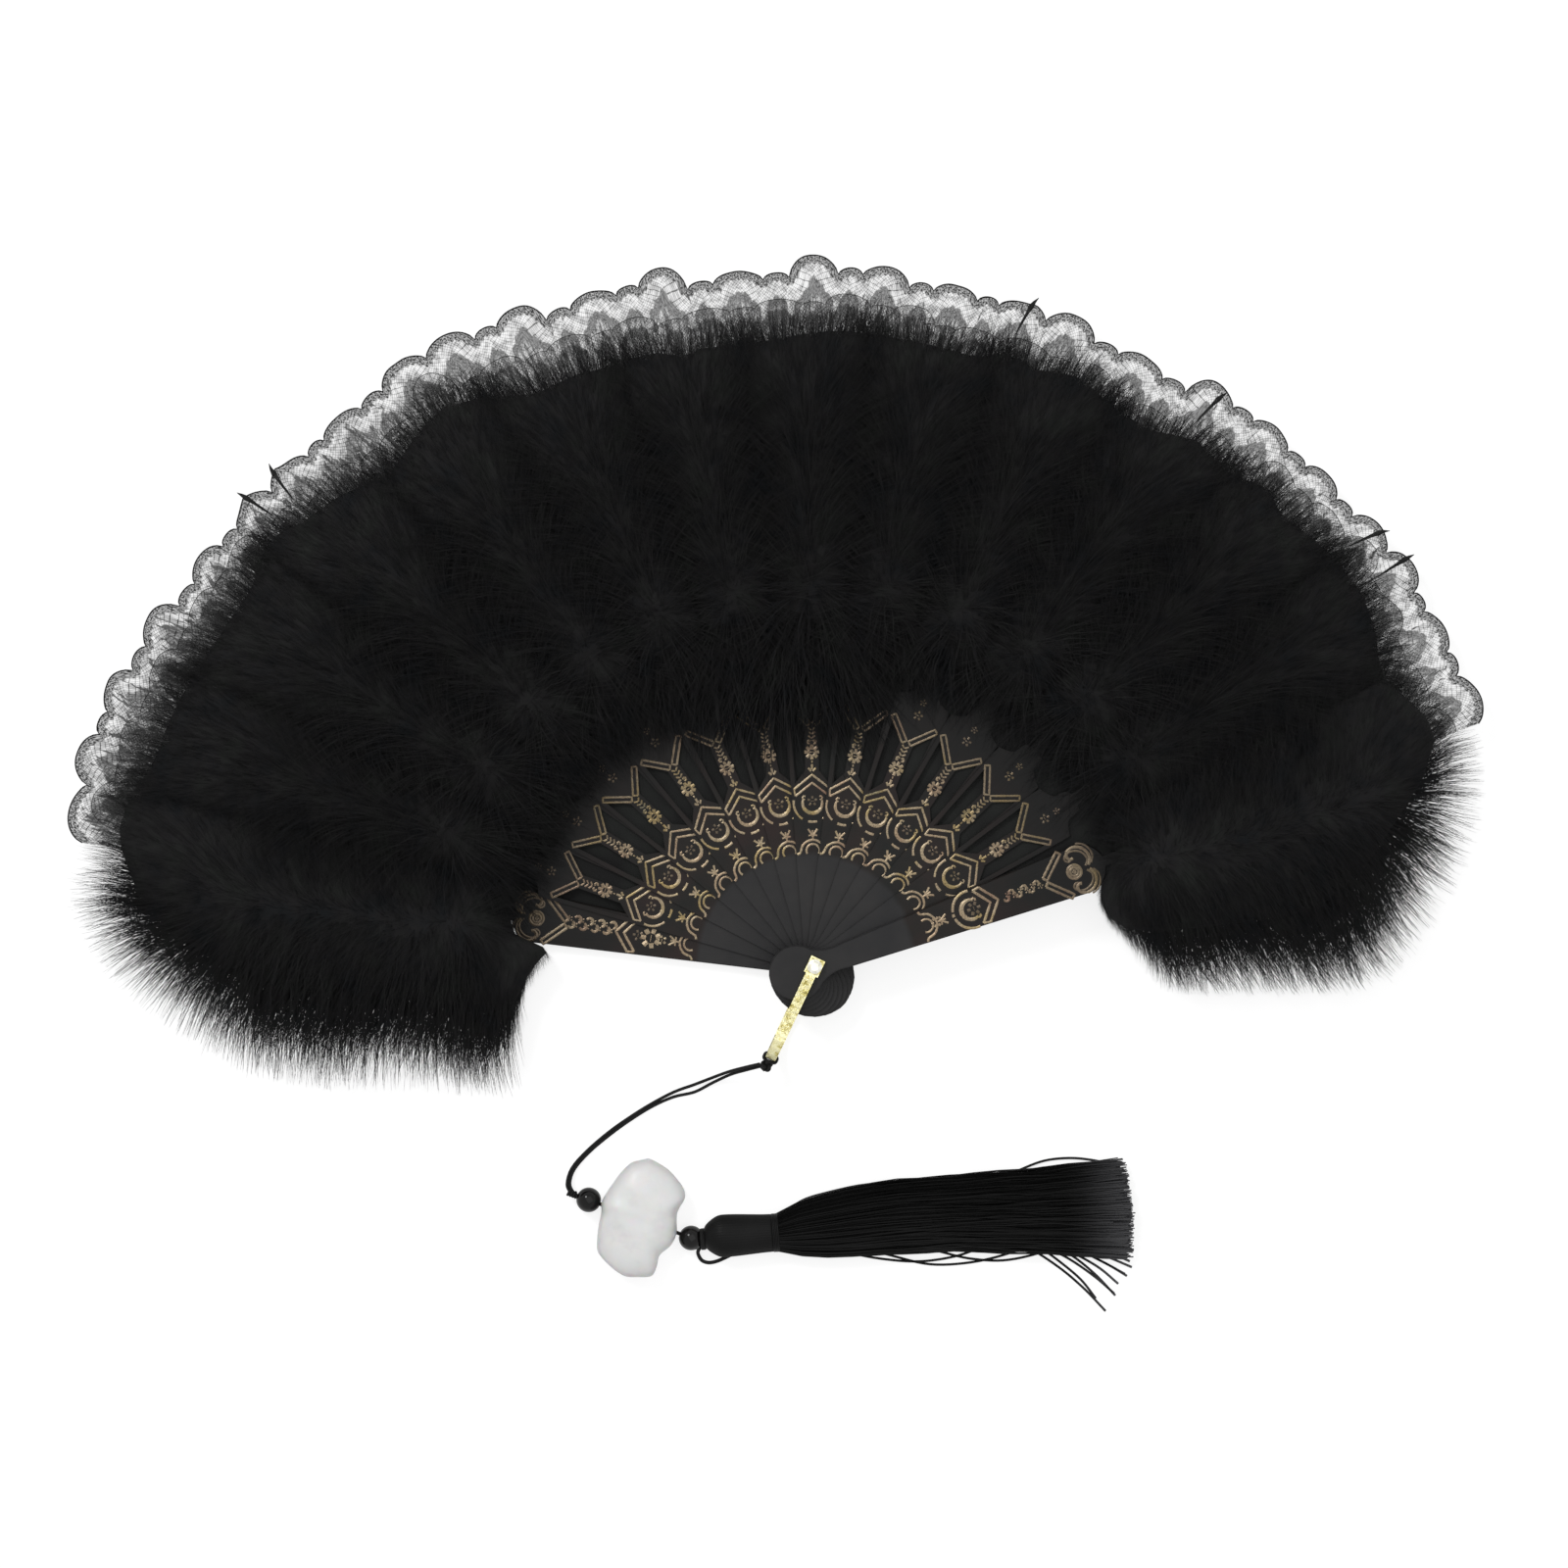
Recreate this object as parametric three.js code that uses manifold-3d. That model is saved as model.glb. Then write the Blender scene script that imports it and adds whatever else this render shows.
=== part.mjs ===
// A black feather and lace folding fan with a tasselled cord, lying open on a table.
// Millimetres, +Z up. The origin is on the rivet's axis, at the table.
// +Y runs from the rivet towards the crown of the open fan, and +X to its right.
import * as THREE from 'three';
import { mergeVertices } from 'three/addons/utils/BufferGeometryUtils.js';
import Module from 'manifold-3d';

const wasm = await Module();
wasm.setup();

// Driving dimensions of the spread fan
const RIB_COUNT = 12;
const LEFT_GUARD_DEGREES = 170.5;
const LEFT_GAP_DEGREES = 10.1;
const RIB_PITCH_DEGREES = 11.615;
const RIGHT_GAP_DEGREES = 12.625;
const CLEARANCE = 0.3;

// Sticks
const RIB_THICKNESS = 0.8;
const GUARD_THICKNESS = 2;
const GUARD_BEVEL = 0.4;
const BULB_RADIUS = 8.8;
const BULB_JOIN_DEGREES = 40;

const NECK_REACH = 10;
const RIB_NECK_WIDTH = 7.2;
const GUARD_NECK_WIDTH = 8;
const NECK_WAIST_WIDTH = 6;
const BLADE_LENGTH = 78;
const RIB_CROWN_WIDTH = 17.8;
const GUARD_CROWN_WIDTH = 15.8;
const ARCH_LENGTH = 2.5;
const FINIAL_LENGTH = 10;
const FINIAL_WIDTH = 8.4;
const SHANK_WIDTH = 4;
const SHANK_TIP_WIDTH = 2.8;
const SHANK_TIP_COVER = 6;
const STEM_WIDTH = 4.4;
const RAIL_WIDTH = 1.4;

// How far the bulbs lie past the rivet, in bulb radii, in even steps from left to right
const BULB_SHARES = [0.26, 0.59, 0.85, 0.87, 0.77, 0.69];

// Corners of a rib's windows, as shares of its blade's length. They stand further out towards
// both sides of the fan, and most of all towards the left
const WINDOW_RISE = 3.1;
const WINDOW_LEAN = 1;
const ROOF_FOOT_SHARE = 0.615;
const ROOF_PEAK_SHARE = 0.668;
const FORK_SHARE = 0.848;
const ARCH_FOOT_SHARE = 0.935;

// Rivet and shackle
const RIVET_RADIUS = 1.3;
const RIVET_HEAD_RADIUS = 2.3;
const RIVET_HEAD_HEIGHT = 1;
const SHACKLE_DEGREES = 244.6;
const SHACKLE_LENGTH = 33.2;
const STRAP_WIDTH = 3.4;
const STRAP_THICKNESS = 1.2;
const CLIP_WIDTH = 4.8;
const CLIP_LENGTH = 5.6;
const KNURL_PITCH = 1.8;
const KNURL_HEIGHT = 0.35;

// Feather plumes
const PLUME_LENGTH = 97.7;
const PLUME_HEIGHT = 26;
const PLUME_EDGE_LEVEL = 11;
const LOBE_WIDTH = 44;
const LEFT_SWELL_SHARE = 0.1;
const RIGHT_SWELL_SHARE = 0.025;
const SWELL_CENTRE_DEGREES = 85;

// Lace rim
const LACE_OVERHANG = 29;
const LACE_THICKNESS = 0.8;
const LACE_SEAT_GAP = 0.4;
const LACE_SCALLOPS = 3;
const LACE_RUFFLES = 1.5;
const SCALLOP_DEPTH = 3.5;
const RUFFLE_HEIGHT = 6;

// Cord, beads and pendant
const CORD_DIAMETER = 0.9;
const CARRIER_DIAMETER = 1.2;
const BEAD_RADIUS = 4;
const KNOT_RADIUS = 1.7;
const KNOT_WRAP_WIDTH = 1.2;
const KNOT_WRAP_HEIGHT = 1.6;
const PENDANT_WIDTH = 28;
const PENDANT_LENGTH = 38;
const PENDANT_THICKNESS = 13;
// The carved outline, as shares of the pendant's width and length from the middle of its bore
const PENDANT_SHARES = [
  [0.096, 0.516],
  [0.304, 0.434],
  [0.436, 0.337],
  [0.514, 0.195],
  [0.429, 0.053],
  [0.421, -0.111],
  [0.329, -0.237],
  [0.221, -0.316],
  [0.171, -0.453],
  [-0.029, -0.484],
  [-0.221, -0.461],
  [-0.4, -0.347],
  [-0.486, -0.195],
  [-0.454, -0.003],
  [-0.428, 0.142],
  [-0.311, 0.3],
  [-0.136, 0.458],
];

// Tassel
const TASSEL_LENGTH = 137.5;
const TASSEL_DEGREES = 3.5;
const TASSEL_HEAD_LENGTH = 21;
const TASSEL_HEAD_WIDTH = 13.4;
const TASSEL_HEAD_HEIGHT = 11;
const BINDING_LENGTH = 2.2;
const BINDING_RISE = 0.4;
const SKIRT_WIDTH = 34;
const SKIRT_HEIGHT = 8;

// Places of the beads and the tassel on the table, from the rivet
const BEAD_UPPER_PLACE = new THREE.Vector2(-72.2, -75.3);
const BEAD_LOWER_PLACE = new THREE.Vector2(-39.4, -87.5);
const TASSEL_PLACE = new THREE.Vector2(-34.6, -87);

// The two strands from the knot to the upper bead, points chosen by hand
const STRAND_A_ROUTE = [
  [-17.4, -31.4, 11.3],
  [-21.8, -32.5, 9.4],
  [-27.3, -34.2, 5.2],
  [-32.6, -36.3, 1.9],
  [-38.4, -38.6, 0.6],
  [-45.0, -41.0, 0.5],
  [-52.6, -45.0, 0.5],
  [-59.9, -49.6, 0.5],
  [-66.3, -54.2, 0.5],
  [-72.9, -59.9, 0.6],
  [-77.7, -65.4, 1.2],
  [-79.2, -70.4, 2.6],
  [-78.0, -73.2, 3.7],
];
const STRAND_B_ROUTE = [
  [-17.1, -33.3, 11.3],
  [-21.4, -34.3, 9.2],
  [-26.6, -36.1, 4.8],
  [-32.6, -38.9, 1.4],
  [-38.8, -41.1, 0.5],
  [-45.0, -42.8, 0.5],
  [-52.0, -46.2, 0.5],
  [-59.2, -50.6, 0.5],
  [-65.5, -55.2, 0.5],
  [-71.9, -60.7, 0.6],
  [-76.5, -65.8, 1.2],
  [-77.9, -69.9, 2.6],
  [-76.9, -72.6, 3.7],
];
// The slack loop of cord below the tassel's head, points chosen by hand
const LOOP_ROUTE = [
  [-36.6, -90.6, 3.2],
  [-37.3, -92.3, 1.4],
  [-36.2, -94.3, 0.55],
  [-33.9, -95.0, 0.5],
  [-31.4, -94.9, 0.5],
  [-29.2, -94.3, 0.55],
];
const STRAND_STEPS = 32;
const LOOP_STEPS = 12;

// Reaches from the rivet that follow from the lengths
const CROWN_REACH = NECK_REACH + BLADE_LENGTH;
const ARCH_REACH = CROWN_REACH + ARCH_LENGTH;
const FINIAL_REACH = CROWN_REACH + FINIAL_LENGTH;
const PLUME_START_REACH = FINIAL_REACH + CLEARANCE;
const PLUME_REACH = PLUME_START_REACH + PLUME_LENGTH;
const SHANK_TIP_REACH = PLUME_REACH - SHANK_TIP_COVER;
const LACE_REACH = PLUME_REACH + LACE_OVERHANG;

const STICK_COUNT = RIB_COUNT + 2;
const ROUND_STEPS = 5;
const radians = THREE.MathUtils.degToRad;

// Shared helpers

function material(colour, roughness, metalness) {
  return new THREE.MeshStandardMaterial({ color: colour, roughness, metalness });
}

function positionOnly(geometry) {
  const bare = geometry.clone();
  bare.deleteAttribute('normal');
  bare.deleteAttribute('uv');
  return mergeVertices(bare.index ? bare.toNonIndexed() : bare, CLEARANCE / 1000);
}

function toSolid(geometry) {
  const merged = positionOnly(geometry);
  const mesh = new wasm.Mesh({
    numProp: 3,
    vertProperties: new Float32Array(merged.attributes.position.array),
    triVerts: new Uint32Array(merged.index.array),
  });
  return new wasm.Manifold(mesh);
}

function toGeometry(solid) {
  const mesh = solid.getMesh();
  const geometry = new THREE.BufferGeometry();
  const position = new THREE.BufferAttribute(new Float32Array(mesh.vertProperties), 3);
  geometry.setAttribute('position', position);
  geometry.setIndex(Array.from(mesh.triVerts));
  geometry.computeVertexNormals();
  return geometry;
}

function fromRings(rings, startCap, endCap) {
  // Closed rings hold the same number of points. A cap is the point that closes an end.
  const points = rings.flat();
  const size = rings[0].length;
  const faces = [];
  for (let ring = 0; ring + 1 < rings.length; ring += 1) {
    for (let i = 0; i < size; i += 1) {
      const a = ring * size + i;
      const b = ring * size + ((i + 1) % size);
      faces.push(a, b, b + size, a, b + size, a + size);
    }
  }
  if (startCap) {
    const middle = points.push(startCap) - 1;
    for (let i = 0; i < size; i += 1) faces.push(middle, (i + 1) % size, i);
  }
  if (endCap) {
    const middle = points.push(endCap) - 1;
    const base = (rings.length - 1) * size;
    for (let i = 0; i < size; i += 1) faces.push(middle, base + i, base + ((i + 1) % size));
  }
  const geometry = new THREE.BufferGeometry().setFromPoints(points);
  geometry.setIndex(faces);
  geometry.computeVertexNormals();
  return geometry;
}

function place(geometry, name, look, degrees = 0, at = new THREE.Vector3()) {
  const mesh = new THREE.Mesh(geometry, look);
  mesh.name = name;
  mesh.rotation.z = radians(degrees);
  mesh.position.copy(at);
  return mesh;
}

function polar(reach, degrees) {
  return new THREE.Vector2(reach * Math.cos(radians(degrees)), reach * Math.sin(radians(degrees)));
}

// Where each stick lies. Stick 0 is the left guard, at the back of the stack, and the last is
// the right guard, at the front.

const isGuard = (stick) => stick === 0 || stick === STICK_COUNT - 1;
const gapAfter = (stick) => {
  if (stick === 0) return LEFT_GAP_DEGREES;
  return stick === RIB_COUNT ? RIGHT_GAP_DEGREES : RIB_PITCH_DEGREES;
};

const stickDegrees = [LEFT_GUARD_DEGREES];
for (let stick = 1; stick < STICK_COUNT; stick += 1) {
  stickDegrees.push(stickDegrees[stick - 1] - gapAfter(stick - 1));
}

const REAR_STRAP_LEVEL = RIVET_HEAD_HEIGHT + CLEARANCE;
const STACK_LEVEL = REAR_STRAP_LEVEL + STRAP_THICKNESS + CLEARANCE;
const stickThickness = (stick) => (isGuard(stick) ? GUARD_THICKNESS : RIB_THICKNESS);
const stickLevel = [STACK_LEVEL];
for (let stick = 1; stick < STICK_COUNT; stick += 1) {
  stickLevel.push(stickLevel[stick - 1] + stickThickness(stick - 1) + CLEARANCE);
}
const FRONT_STRAP_LEVEL = stickLevel[STICK_COUNT - 1] + GUARD_THICKNESS + CLEARANCE;
const FRONT_CAP_LEVEL = FRONT_STRAP_LEVEL + STRAP_THICKNESS + CLEARANCE;

function stickName(stick) {
  if (stick === 0) return 'guard_left';
  if (stick === STICK_COUNT - 1) return 'guard_right';
  return `rib_${String(stick).padStart(2, '0')}`;
}

// Sticks: a round bulb for the rivet, a neck, a blade that widens, and a slender shank

function bladeHalfWidth(reach, neckWidth, crownWidth) {
  const share = (reach - NECK_REACH) / (CROWN_REACH - NECK_REACH);
  return (neckWidth + (crownWidth - neckWidth) * share) / 2;
}

function bulbOffset(stick) {
  const at = (stick / (STICK_COUNT - 1)) * (BULB_SHARES.length - 1);
  const index = Math.min(Math.floor(at), BULB_SHARES.length - 2);
  const share = THREE.MathUtils.lerp(BULB_SHARES[index], BULB_SHARES[index + 1], at - index);
  return share * BULB_RADIUS;
}

function addHead(path, neckWidth, offset) {
  const join = polar(BULB_RADIUS, BULB_JOIN_DEGREES);
  const joinReach = join.x - offset;
  path.lineTo(NECK_REACH, neckWidth / 2);
  path.quadraticCurveTo((NECK_REACH + joinReach) / 2, NECK_WAIST_WIDTH / 2, joinReach, join.y);
  path.absarc(-offset, 0, BULB_RADIUS, radians(BULB_JOIN_DEGREES), Math.PI, false);
}

function mirrored(path) {
  // The path runs along the upper side from the tip to the end of the bulb
  const upper = path.getPoints(ROUND_STEPS);
  const lower = upper.slice(1, -1).reverse().map((p) => new THREE.Vector2(p.x, -p.y));
  return new THREE.Shape([...upper, ...lower]);
}

function addShank(path, rootReach) {
  path.moveTo(SHANK_TIP_REACH, 0);
  path.lineTo(SHANK_TIP_REACH, SHANK_TIP_WIDTH / 2);
  path.lineTo(rootReach, SHANK_WIDTH / 2);
}

function ribShape(offset, shift) {
  const path = new THREE.Path();
  const finialShoulder = FINIAL_REACH - FINIAL_WIDTH / 2;
  const finialFoot = (ARCH_REACH + finialShoulder) / 2;
  addShank(path, FINIAL_REACH);
  path.quadraticCurveTo(FINIAL_REACH, FINIAL_WIDTH / 2, finialShoulder, FINIAL_WIDTH / 2);
  path.quadraticCurveTo(finialFoot, FINIAL_WIDTH / 2, ARCH_REACH, RIB_CROWN_WIDTH / 2);
  path.lineTo(CROWN_REACH, RIB_CROWN_WIDTH / 2);
  addHead(path, RIB_NECK_WIDTH, offset);
  const shape = mirrored(path);
  for (const side of [1, -1]) shape.holes.push(ribWindow(side, shift));
  return shape;
}

function windowShift(stick) {
  const turn = radians(stickDegrees[stick]);
  return WINDOW_RISE * (1 - Math.sin(turn)) - WINDOW_LEAN * Math.cos(turn);
}

function ribWindow(side, shift) {
  const reach = (share) => THREE.MathUtils.lerp(NECK_REACH, CROWN_REACH, share) + shift;
  const rail = (share) => (
    bladeHalfWidth(reach(share), RIB_NECK_WIDTH, RIB_CROWN_WIDTH) - RAIL_WIDTH
  );
  const corners = [
    [ROOF_PEAK_SHARE, STEM_WIDTH / 2],
    [ROOF_FOOT_SHARE, rail(ROOF_FOOT_SHARE)],
    [ARCH_FOOT_SHARE, rail(ARCH_FOOT_SHARE)],
    [FORK_SHARE, STEM_WIDTH / 2],
  ];
  return new THREE.Path(corners.map(([share, across]) => (
    new THREE.Vector2(reach(share), side * across)
  )));
}

function guardShape(offset) {
  const path = new THREE.Path();
  const shellRadius = GUARD_CROWN_WIDTH / 2;
  const shellCentre = FINIAL_REACH - shellRadius;
  const shellStart = Math.asin(SHANK_WIDTH / 2 / shellRadius);
  addShank(path, shellCentre + shellRadius * Math.cos(shellStart));
  path.absarc(shellCentre, 0, shellRadius, shellStart, Math.PI / 2, false);
  addHead(path, GUARD_NECK_WIDTH, offset);
  return mirrored(path);
}

function addRivetHole(shape) {
  const hole = new THREE.Path();
  hole.absarc(0, 0, RIVET_RADIUS + CLEARANCE, 0, 2 * Math.PI, true);
  shape.holes.push(hole);
  return shape;
}

function stickGeometry(stick) {
  const guard = isGuard(stick);
  const offset = bulbOffset(stick);
  const outline = guard ? guardShape(offset) : ribShape(offset, windowShift(stick));
  const shape = addRivetHole(outline);
  const bevel = guard ? GUARD_BEVEL : 0;
  const geometry = new THREE.ExtrudeGeometry(shape, {
    depth: stickThickness(stick) - 2 * bevel,
    curveSegments: ROUND_STEPS,
    bevelEnabled: guard,
    bevelThickness: bevel,
    bevelSize: bevel,
    bevelOffset: -bevel,
    bevelSegments: 1,
  });
  geometry.translate(0, 0, bevel);
  return geometry;
}

// Plumes: one crowned pad of feathers to each stick, slotted for the stick's shank

function swellShare(degrees) {
  // The rim stands further out at both ends than at its crown
  const turn = (degrees - SWELL_CENTRE_DEGREES) / (LEFT_GUARD_DEGREES - SWELL_CENTRE_DEGREES);
  return 1 + (turn > 0 ? LEFT_SWELL_SHARE : RIGHT_SWELL_SHARE) * turn * turn;
}

const SIDE_SHARES = [0, 0.35, 0.7, 1];
// Each row is a share of the plume's length and a share of the lobe's width
const LOBE_SHARES = [
  [0, 0.12],
  [-0.023, 0.5],
  [0.037, 0.84],
  [0.218, 0.98],
  [0.539, 1],
  [0.86, 0.84],
  [1.08, 0.5],
];

function straightSide(stick, halfDegrees, side) {
  // Points along one straight side of a plume, from its inner end to its rim
  const rimReach = PLUME_REACH * swellShare(stickDegrees[stick] + side * halfDegrees);
  return SIDE_SHARES.map((share) => {
    const point = polar(THREE.MathUtils.lerp(PLUME_START_REACH, rimReach, share), halfDegrees);
    return new THREE.Vector2(point.x, side * (point.y - CLEARANCE / 2));
  });
}

function lobeSide(side) {
  // The end plumes hang past their guard in a round lobe
  return LOBE_SHARES.map(([along, across]) => (
    new THREE.Vector2(PLUME_START_REACH + along * PLUME_LENGTH, side * across * LOBE_WIDTH)
  ));
}

function plumeOutline(stick) {
  const degrees = stickDegrees[stick];
  const left = stick === 0 ? 0 : gapAfter(stick - 1) / 2;
  const right = stick === STICK_COUNT - 1 ? 0 : gapAfter(stick) / 2;
  const lower = right ? straightSide(stick, right, -1) : lobeSide(-1);
  const upper = left ? straightSide(stick, left, 1) : lobeSide(1);
  const rim = [-right / 3, left / 3].map((turn) => (
    polar(PLUME_REACH * swellShare(degrees + turn), turn)
  ));
  const rimPoints = left && right ? rim : [polar(PLUME_REACH * swellShare(degrees), 0)];
  const foot = new THREE.Vector2(PLUME_START_REACH, 0);
  return [foot, ...lower, ...rimPoints, ...upper.reverse()];
}

const CROWN_SHARES = [
  { inset: 1, rise: 0, fall: 0 },
  { inset: 0.985, rise: 0.38, fall: 0.5 },
  { inset: 0.9, rise: 0.76, fall: 1 },
  { inset: 0.62, rise: 0.97, fall: 1 },
];

function pad(outline, middle, edgeLevel, height) {
  // A crowned pad: rings of its outline drawn in towards the middle, over a flat underside
  const ring = (inset, level) => outline.map((p) => new THREE.Vector3(
    middle.x + (p.x - middle.x) * inset,
    middle.y + (p.y - middle.y) * inset,
    level,
  ));
  const below = CROWN_SHARES.slice(1, 3).reverse()
    .map(({ inset, fall }) => ring(inset, edgeLevel * (1 - fall)));
  const above = CROWN_SHARES
    .map(({ inset, rise }) => ring(inset, edgeLevel + (height - edgeLevel) * rise));
  const bottom = new THREE.Vector3(middle.x, middle.y, 0);
  const top = new THREE.Vector3(middle.x, middle.y, height);
  return fromRings([...below, ...above], bottom, top);
}

function plumeGeometry(stick) {
  const middle = new THREE.Vector2((PLUME_START_REACH + PLUME_REACH) / 2, 0);
  if (stick === 0) middle.y = LOBE_WIDTH / 4;
  if (stick === STICK_COUNT - 1) middle.y = -LOBE_WIDTH / 4;
  const body = toSolid(pad(plumeOutline(stick), middle, PLUME_EDGE_LEVEL, PLUME_HEIGHT));
  const slotStart = NECK_REACH;
  const slotEnd = SHANK_TIP_REACH + CLEARANCE;
  const slot = new THREE.BoxGeometry(
    slotEnd - slotStart,
    SHANK_WIDTH + 2 * CLEARANCE,
    stickThickness(stick) + 2 * CLEARANCE,
  );
  const level = stickLevel[stick] + stickThickness(stick) / 2;
  slot.translate((slotStart + slotEnd) / 2, 0, level);
  return toGeometry(body.subtract(toSolid(slot)));
}

// Lace: one ruffled, scalloped segment between each pair of sticks, at the rim

const LACE_COLUMNS = 4 * LACE_SCALLOPS;
const LACE_ROW_SHARES = [0, 0.45, 1];

function laceGeometry(stick) {
  const from = stickDegrees[stick + 1];
  const span = gapAfter(stick);
  const rings = [];
  for (let column = 0; column <= LACE_COLUMNS; column += 1) {
    const along = column / LACE_COLUMNS;
    const scallop = SCALLOP_DEPTH * (1 - Math.abs(Math.sin(Math.PI * LACE_SCALLOPS * along)));
    const seam = Math.sign(along - 1 / 2) * (column % LACE_COLUMNS === 0 ? -CLEARANCE / 2 : 0);
    const degrees = from + span * along;
    const inner = PLUME_REACH * swellShare(degrees) + LACE_SEAT_GAP;
    const outer = LACE_REACH * swellShare(degrees) - scallop;
    const edge = LACE_ROW_SHARES.map((share) => {
      const reach = THREE.MathUtils.lerp(inner, outer, share);
      const point = polar(reach, degrees + THREE.MathUtils.radToDeg(seam / reach));
      const wave = Math.sin(2 * Math.PI * LACE_RUFFLES * along);
      const side = stick % 2 ? -1 : 1;
      return new THREE.Vector3(
        point.x,
        point.y,
        PLUME_EDGE_LEVEL + side * share * RUFFLE_HEIGHT * wave,
      );
    });
    const lift = new THREE.Vector3(0, 0, LACE_THICKNESS / 2);
    rings.push([
      ...edge.map((p) => p.clone().add(lift)),
      ...edge.reverse().map((p) => p.clone().sub(lift)),
    ]);
  }
  return closeStrip(rings);
}

function closeStrip(rings) {
  // A strip of thin sections whose two ends are closed by a fan of faces
  const geometry = fromRings(rings);
  const faces = Array.from(geometry.index.array);
  const size = rings[0].length;
  const last = (rings.length - 1) * size;
  for (let i = 0; 2 * i + 2 < size; i += 1) {
    const [a, b, c, d] = [i, i + 1, size - 2 - i, size - 1 - i];
    faces.push(a, c, b, a, d, c);
    faces.push(last + a, last + b, last + c, last + a, last + c, last + d);
  }
  geometry.setIndex(faces);
  geometry.computeVertexNormals();
  return geometry;
}

// Rivet: a headed pin through the whole stack, closed at the front by a cap

function rivetGeometry() {
  const profile = [
    [0, 0],
    [RIVET_HEAD_RADIUS, 0],
    [RIVET_HEAD_RADIUS, RIVET_HEAD_HEIGHT],
    [RIVET_RADIUS, RIVET_HEAD_HEIGHT],
    [RIVET_RADIUS, FRONT_CAP_LEVEL],
    [0, FRONT_CAP_LEVEL],
  ];
  return turned(profile);
}

function rivetCapGeometry() {
  const seat = FRONT_CAP_LEVEL + CLEARANCE;
  const shoulder = seat + RIVET_HEAD_HEIGHT / 2;
  const profile = [
    [0, seat],
    [RIVET_HEAD_RADIUS, seat],
    [RIVET_HEAD_RADIUS, shoulder],
    [RIVET_RADIUS, seat + RIVET_HEAD_HEIGHT],
    [0, seat + RIVET_HEAD_HEIGHT],
  ];
  return turned(profile);
}

function turned(profile) {
  const outline = profile.map(([radius, level]) => new THREE.Vector2(radius, level));
  const geometry = new THREE.LatheGeometry(outline, 4 * ROUND_STEPS);
  geometry.rotateX(Math.PI / 2);
  return geometry;
}

// Shackle: a strap bent into a U over the stack, knurled outside, with a square clip at each end

function shackleGeometry() {
  const outerRadius = (FRONT_STRAP_LEVEL + STRAP_THICKNESS - REAR_STRAP_LEVEL) / 2;
  const innerRadius = outerRadius - STRAP_THICKNESS;
  const middle = REAR_STRAP_LEVEL + outerRadius;
  const bend = SHACKLE_LENGTH - outerRadius;
  const knurlStart = CLIP_LENGTH / 2 + KNURL_PITCH / 2;
  const knurls = Math.floor((bend - knurlStart) / KNURL_PITCH);
  const outline = [];
  for (let knurl = 0; knurl < knurls; knurl += 1) {
    const at = knurlStart + knurl * KNURL_PITCH;
    outline.push(new THREE.Vector2(at, -outerRadius));
    outline.push(new THREE.Vector2(at + KNURL_PITCH / 2, -outerRadius - KNURL_HEIGHT));
  }
  const flipped = outline.slice().reverse().map((p) => new THREE.Vector2(p.x, -p.y));
  const bendSteps = 2 * ROUND_STEPS;
  const arc = (radius) => Array.from({ length: bendSteps + 1 }, (_, i) => (
    polar(radius, -90 + (180 * i) / bendSteps).add(new THREE.Vector2(bend, 0))
  ));
  const shape = new THREE.Shape([
    new THREE.Vector2(0, -outerRadius),
    ...outline,
    ...arc(outerRadius),
    ...flipped,
    new THREE.Vector2(0, outerRadius),
    new THREE.Vector2(0, innerRadius),
    ...arc(innerRadius).reverse(),
    new THREE.Vector2(0, -innerRadius),
  ]);
  const strap = new THREE.ExtrudeGeometry(shape, { depth: STRAP_WIDTH, bevelEnabled: false });
  strap.translate(0, 0, -STRAP_WIDTH / 2);
  strap.rotateX(Math.PI / 2);
  strap.translate(0, 0, middle);
  let solid = toSolid(strap);
  for (const level of [REAR_STRAP_LEVEL, FRONT_STRAP_LEVEL]) {
    const clip = new THREE.BoxGeometry(CLIP_LENGTH, CLIP_WIDTH, STRAP_THICKNESS);
    clip.translate(0, 0, level + STRAP_THICKNESS / 2);
    solid = solid.add(toSolid(clip));
  }
  const holeRadius = RIVET_RADIUS + CLEARANCE;
  const hole = new THREE.CylinderGeometry(holeRadius, holeRadius, 4 * SHACKLE_LENGTH, 4 * ROUND_STEPS);
  hole.rotateX(Math.PI / 2);
  return toGeometry(solid.subtract(toSolid(hole)));
}

// Knot: a wrap of cord round the shackle's bend and the knot outside it

const KNOT_LEVEL = (REAR_STRAP_LEVEL + FRONT_STRAP_LEVEL + STRAP_THICKNESS) / 2;
const WRAP_CENTRE_REACH = SHACKLE_LENGTH - STRAP_THICKNESS / 2;
const WRAP_HALF_DEPTH = STRAP_THICKNESS / 2 + CLEARANCE;
const WRAP_HALF_WIDTH = STRAP_WIDTH / 2 + CLEARANCE;
const KNOT_REACH = WRAP_CENTRE_REACH + WRAP_HALF_DEPTH + KNOT_RADIUS;

function knotGeometry() {
  const shape = roundedBox(WRAP_HALF_DEPTH + KNOT_WRAP_WIDTH, WRAP_HALF_WIDTH + KNOT_WRAP_WIDTH);
  shape.holes.push(roundedBox(WRAP_HALF_DEPTH, WRAP_HALF_WIDTH));
  const wrap = new THREE.ExtrudeGeometry(shape, { depth: KNOT_WRAP_HEIGHT, bevelEnabled: false });
  wrap.translate(WRAP_CENTRE_REACH, 0, KNOT_LEVEL - KNOT_WRAP_HEIGHT / 2);
  const knot = new THREE.SphereGeometry(KNOT_RADIUS, 2 * ROUND_STEPS, ROUND_STEPS);
  knot.translate(KNOT_REACH, 0, KNOT_LEVEL);
  return toGeometry(toSolid(wrap).add(toSolid(knot)));
}

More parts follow.
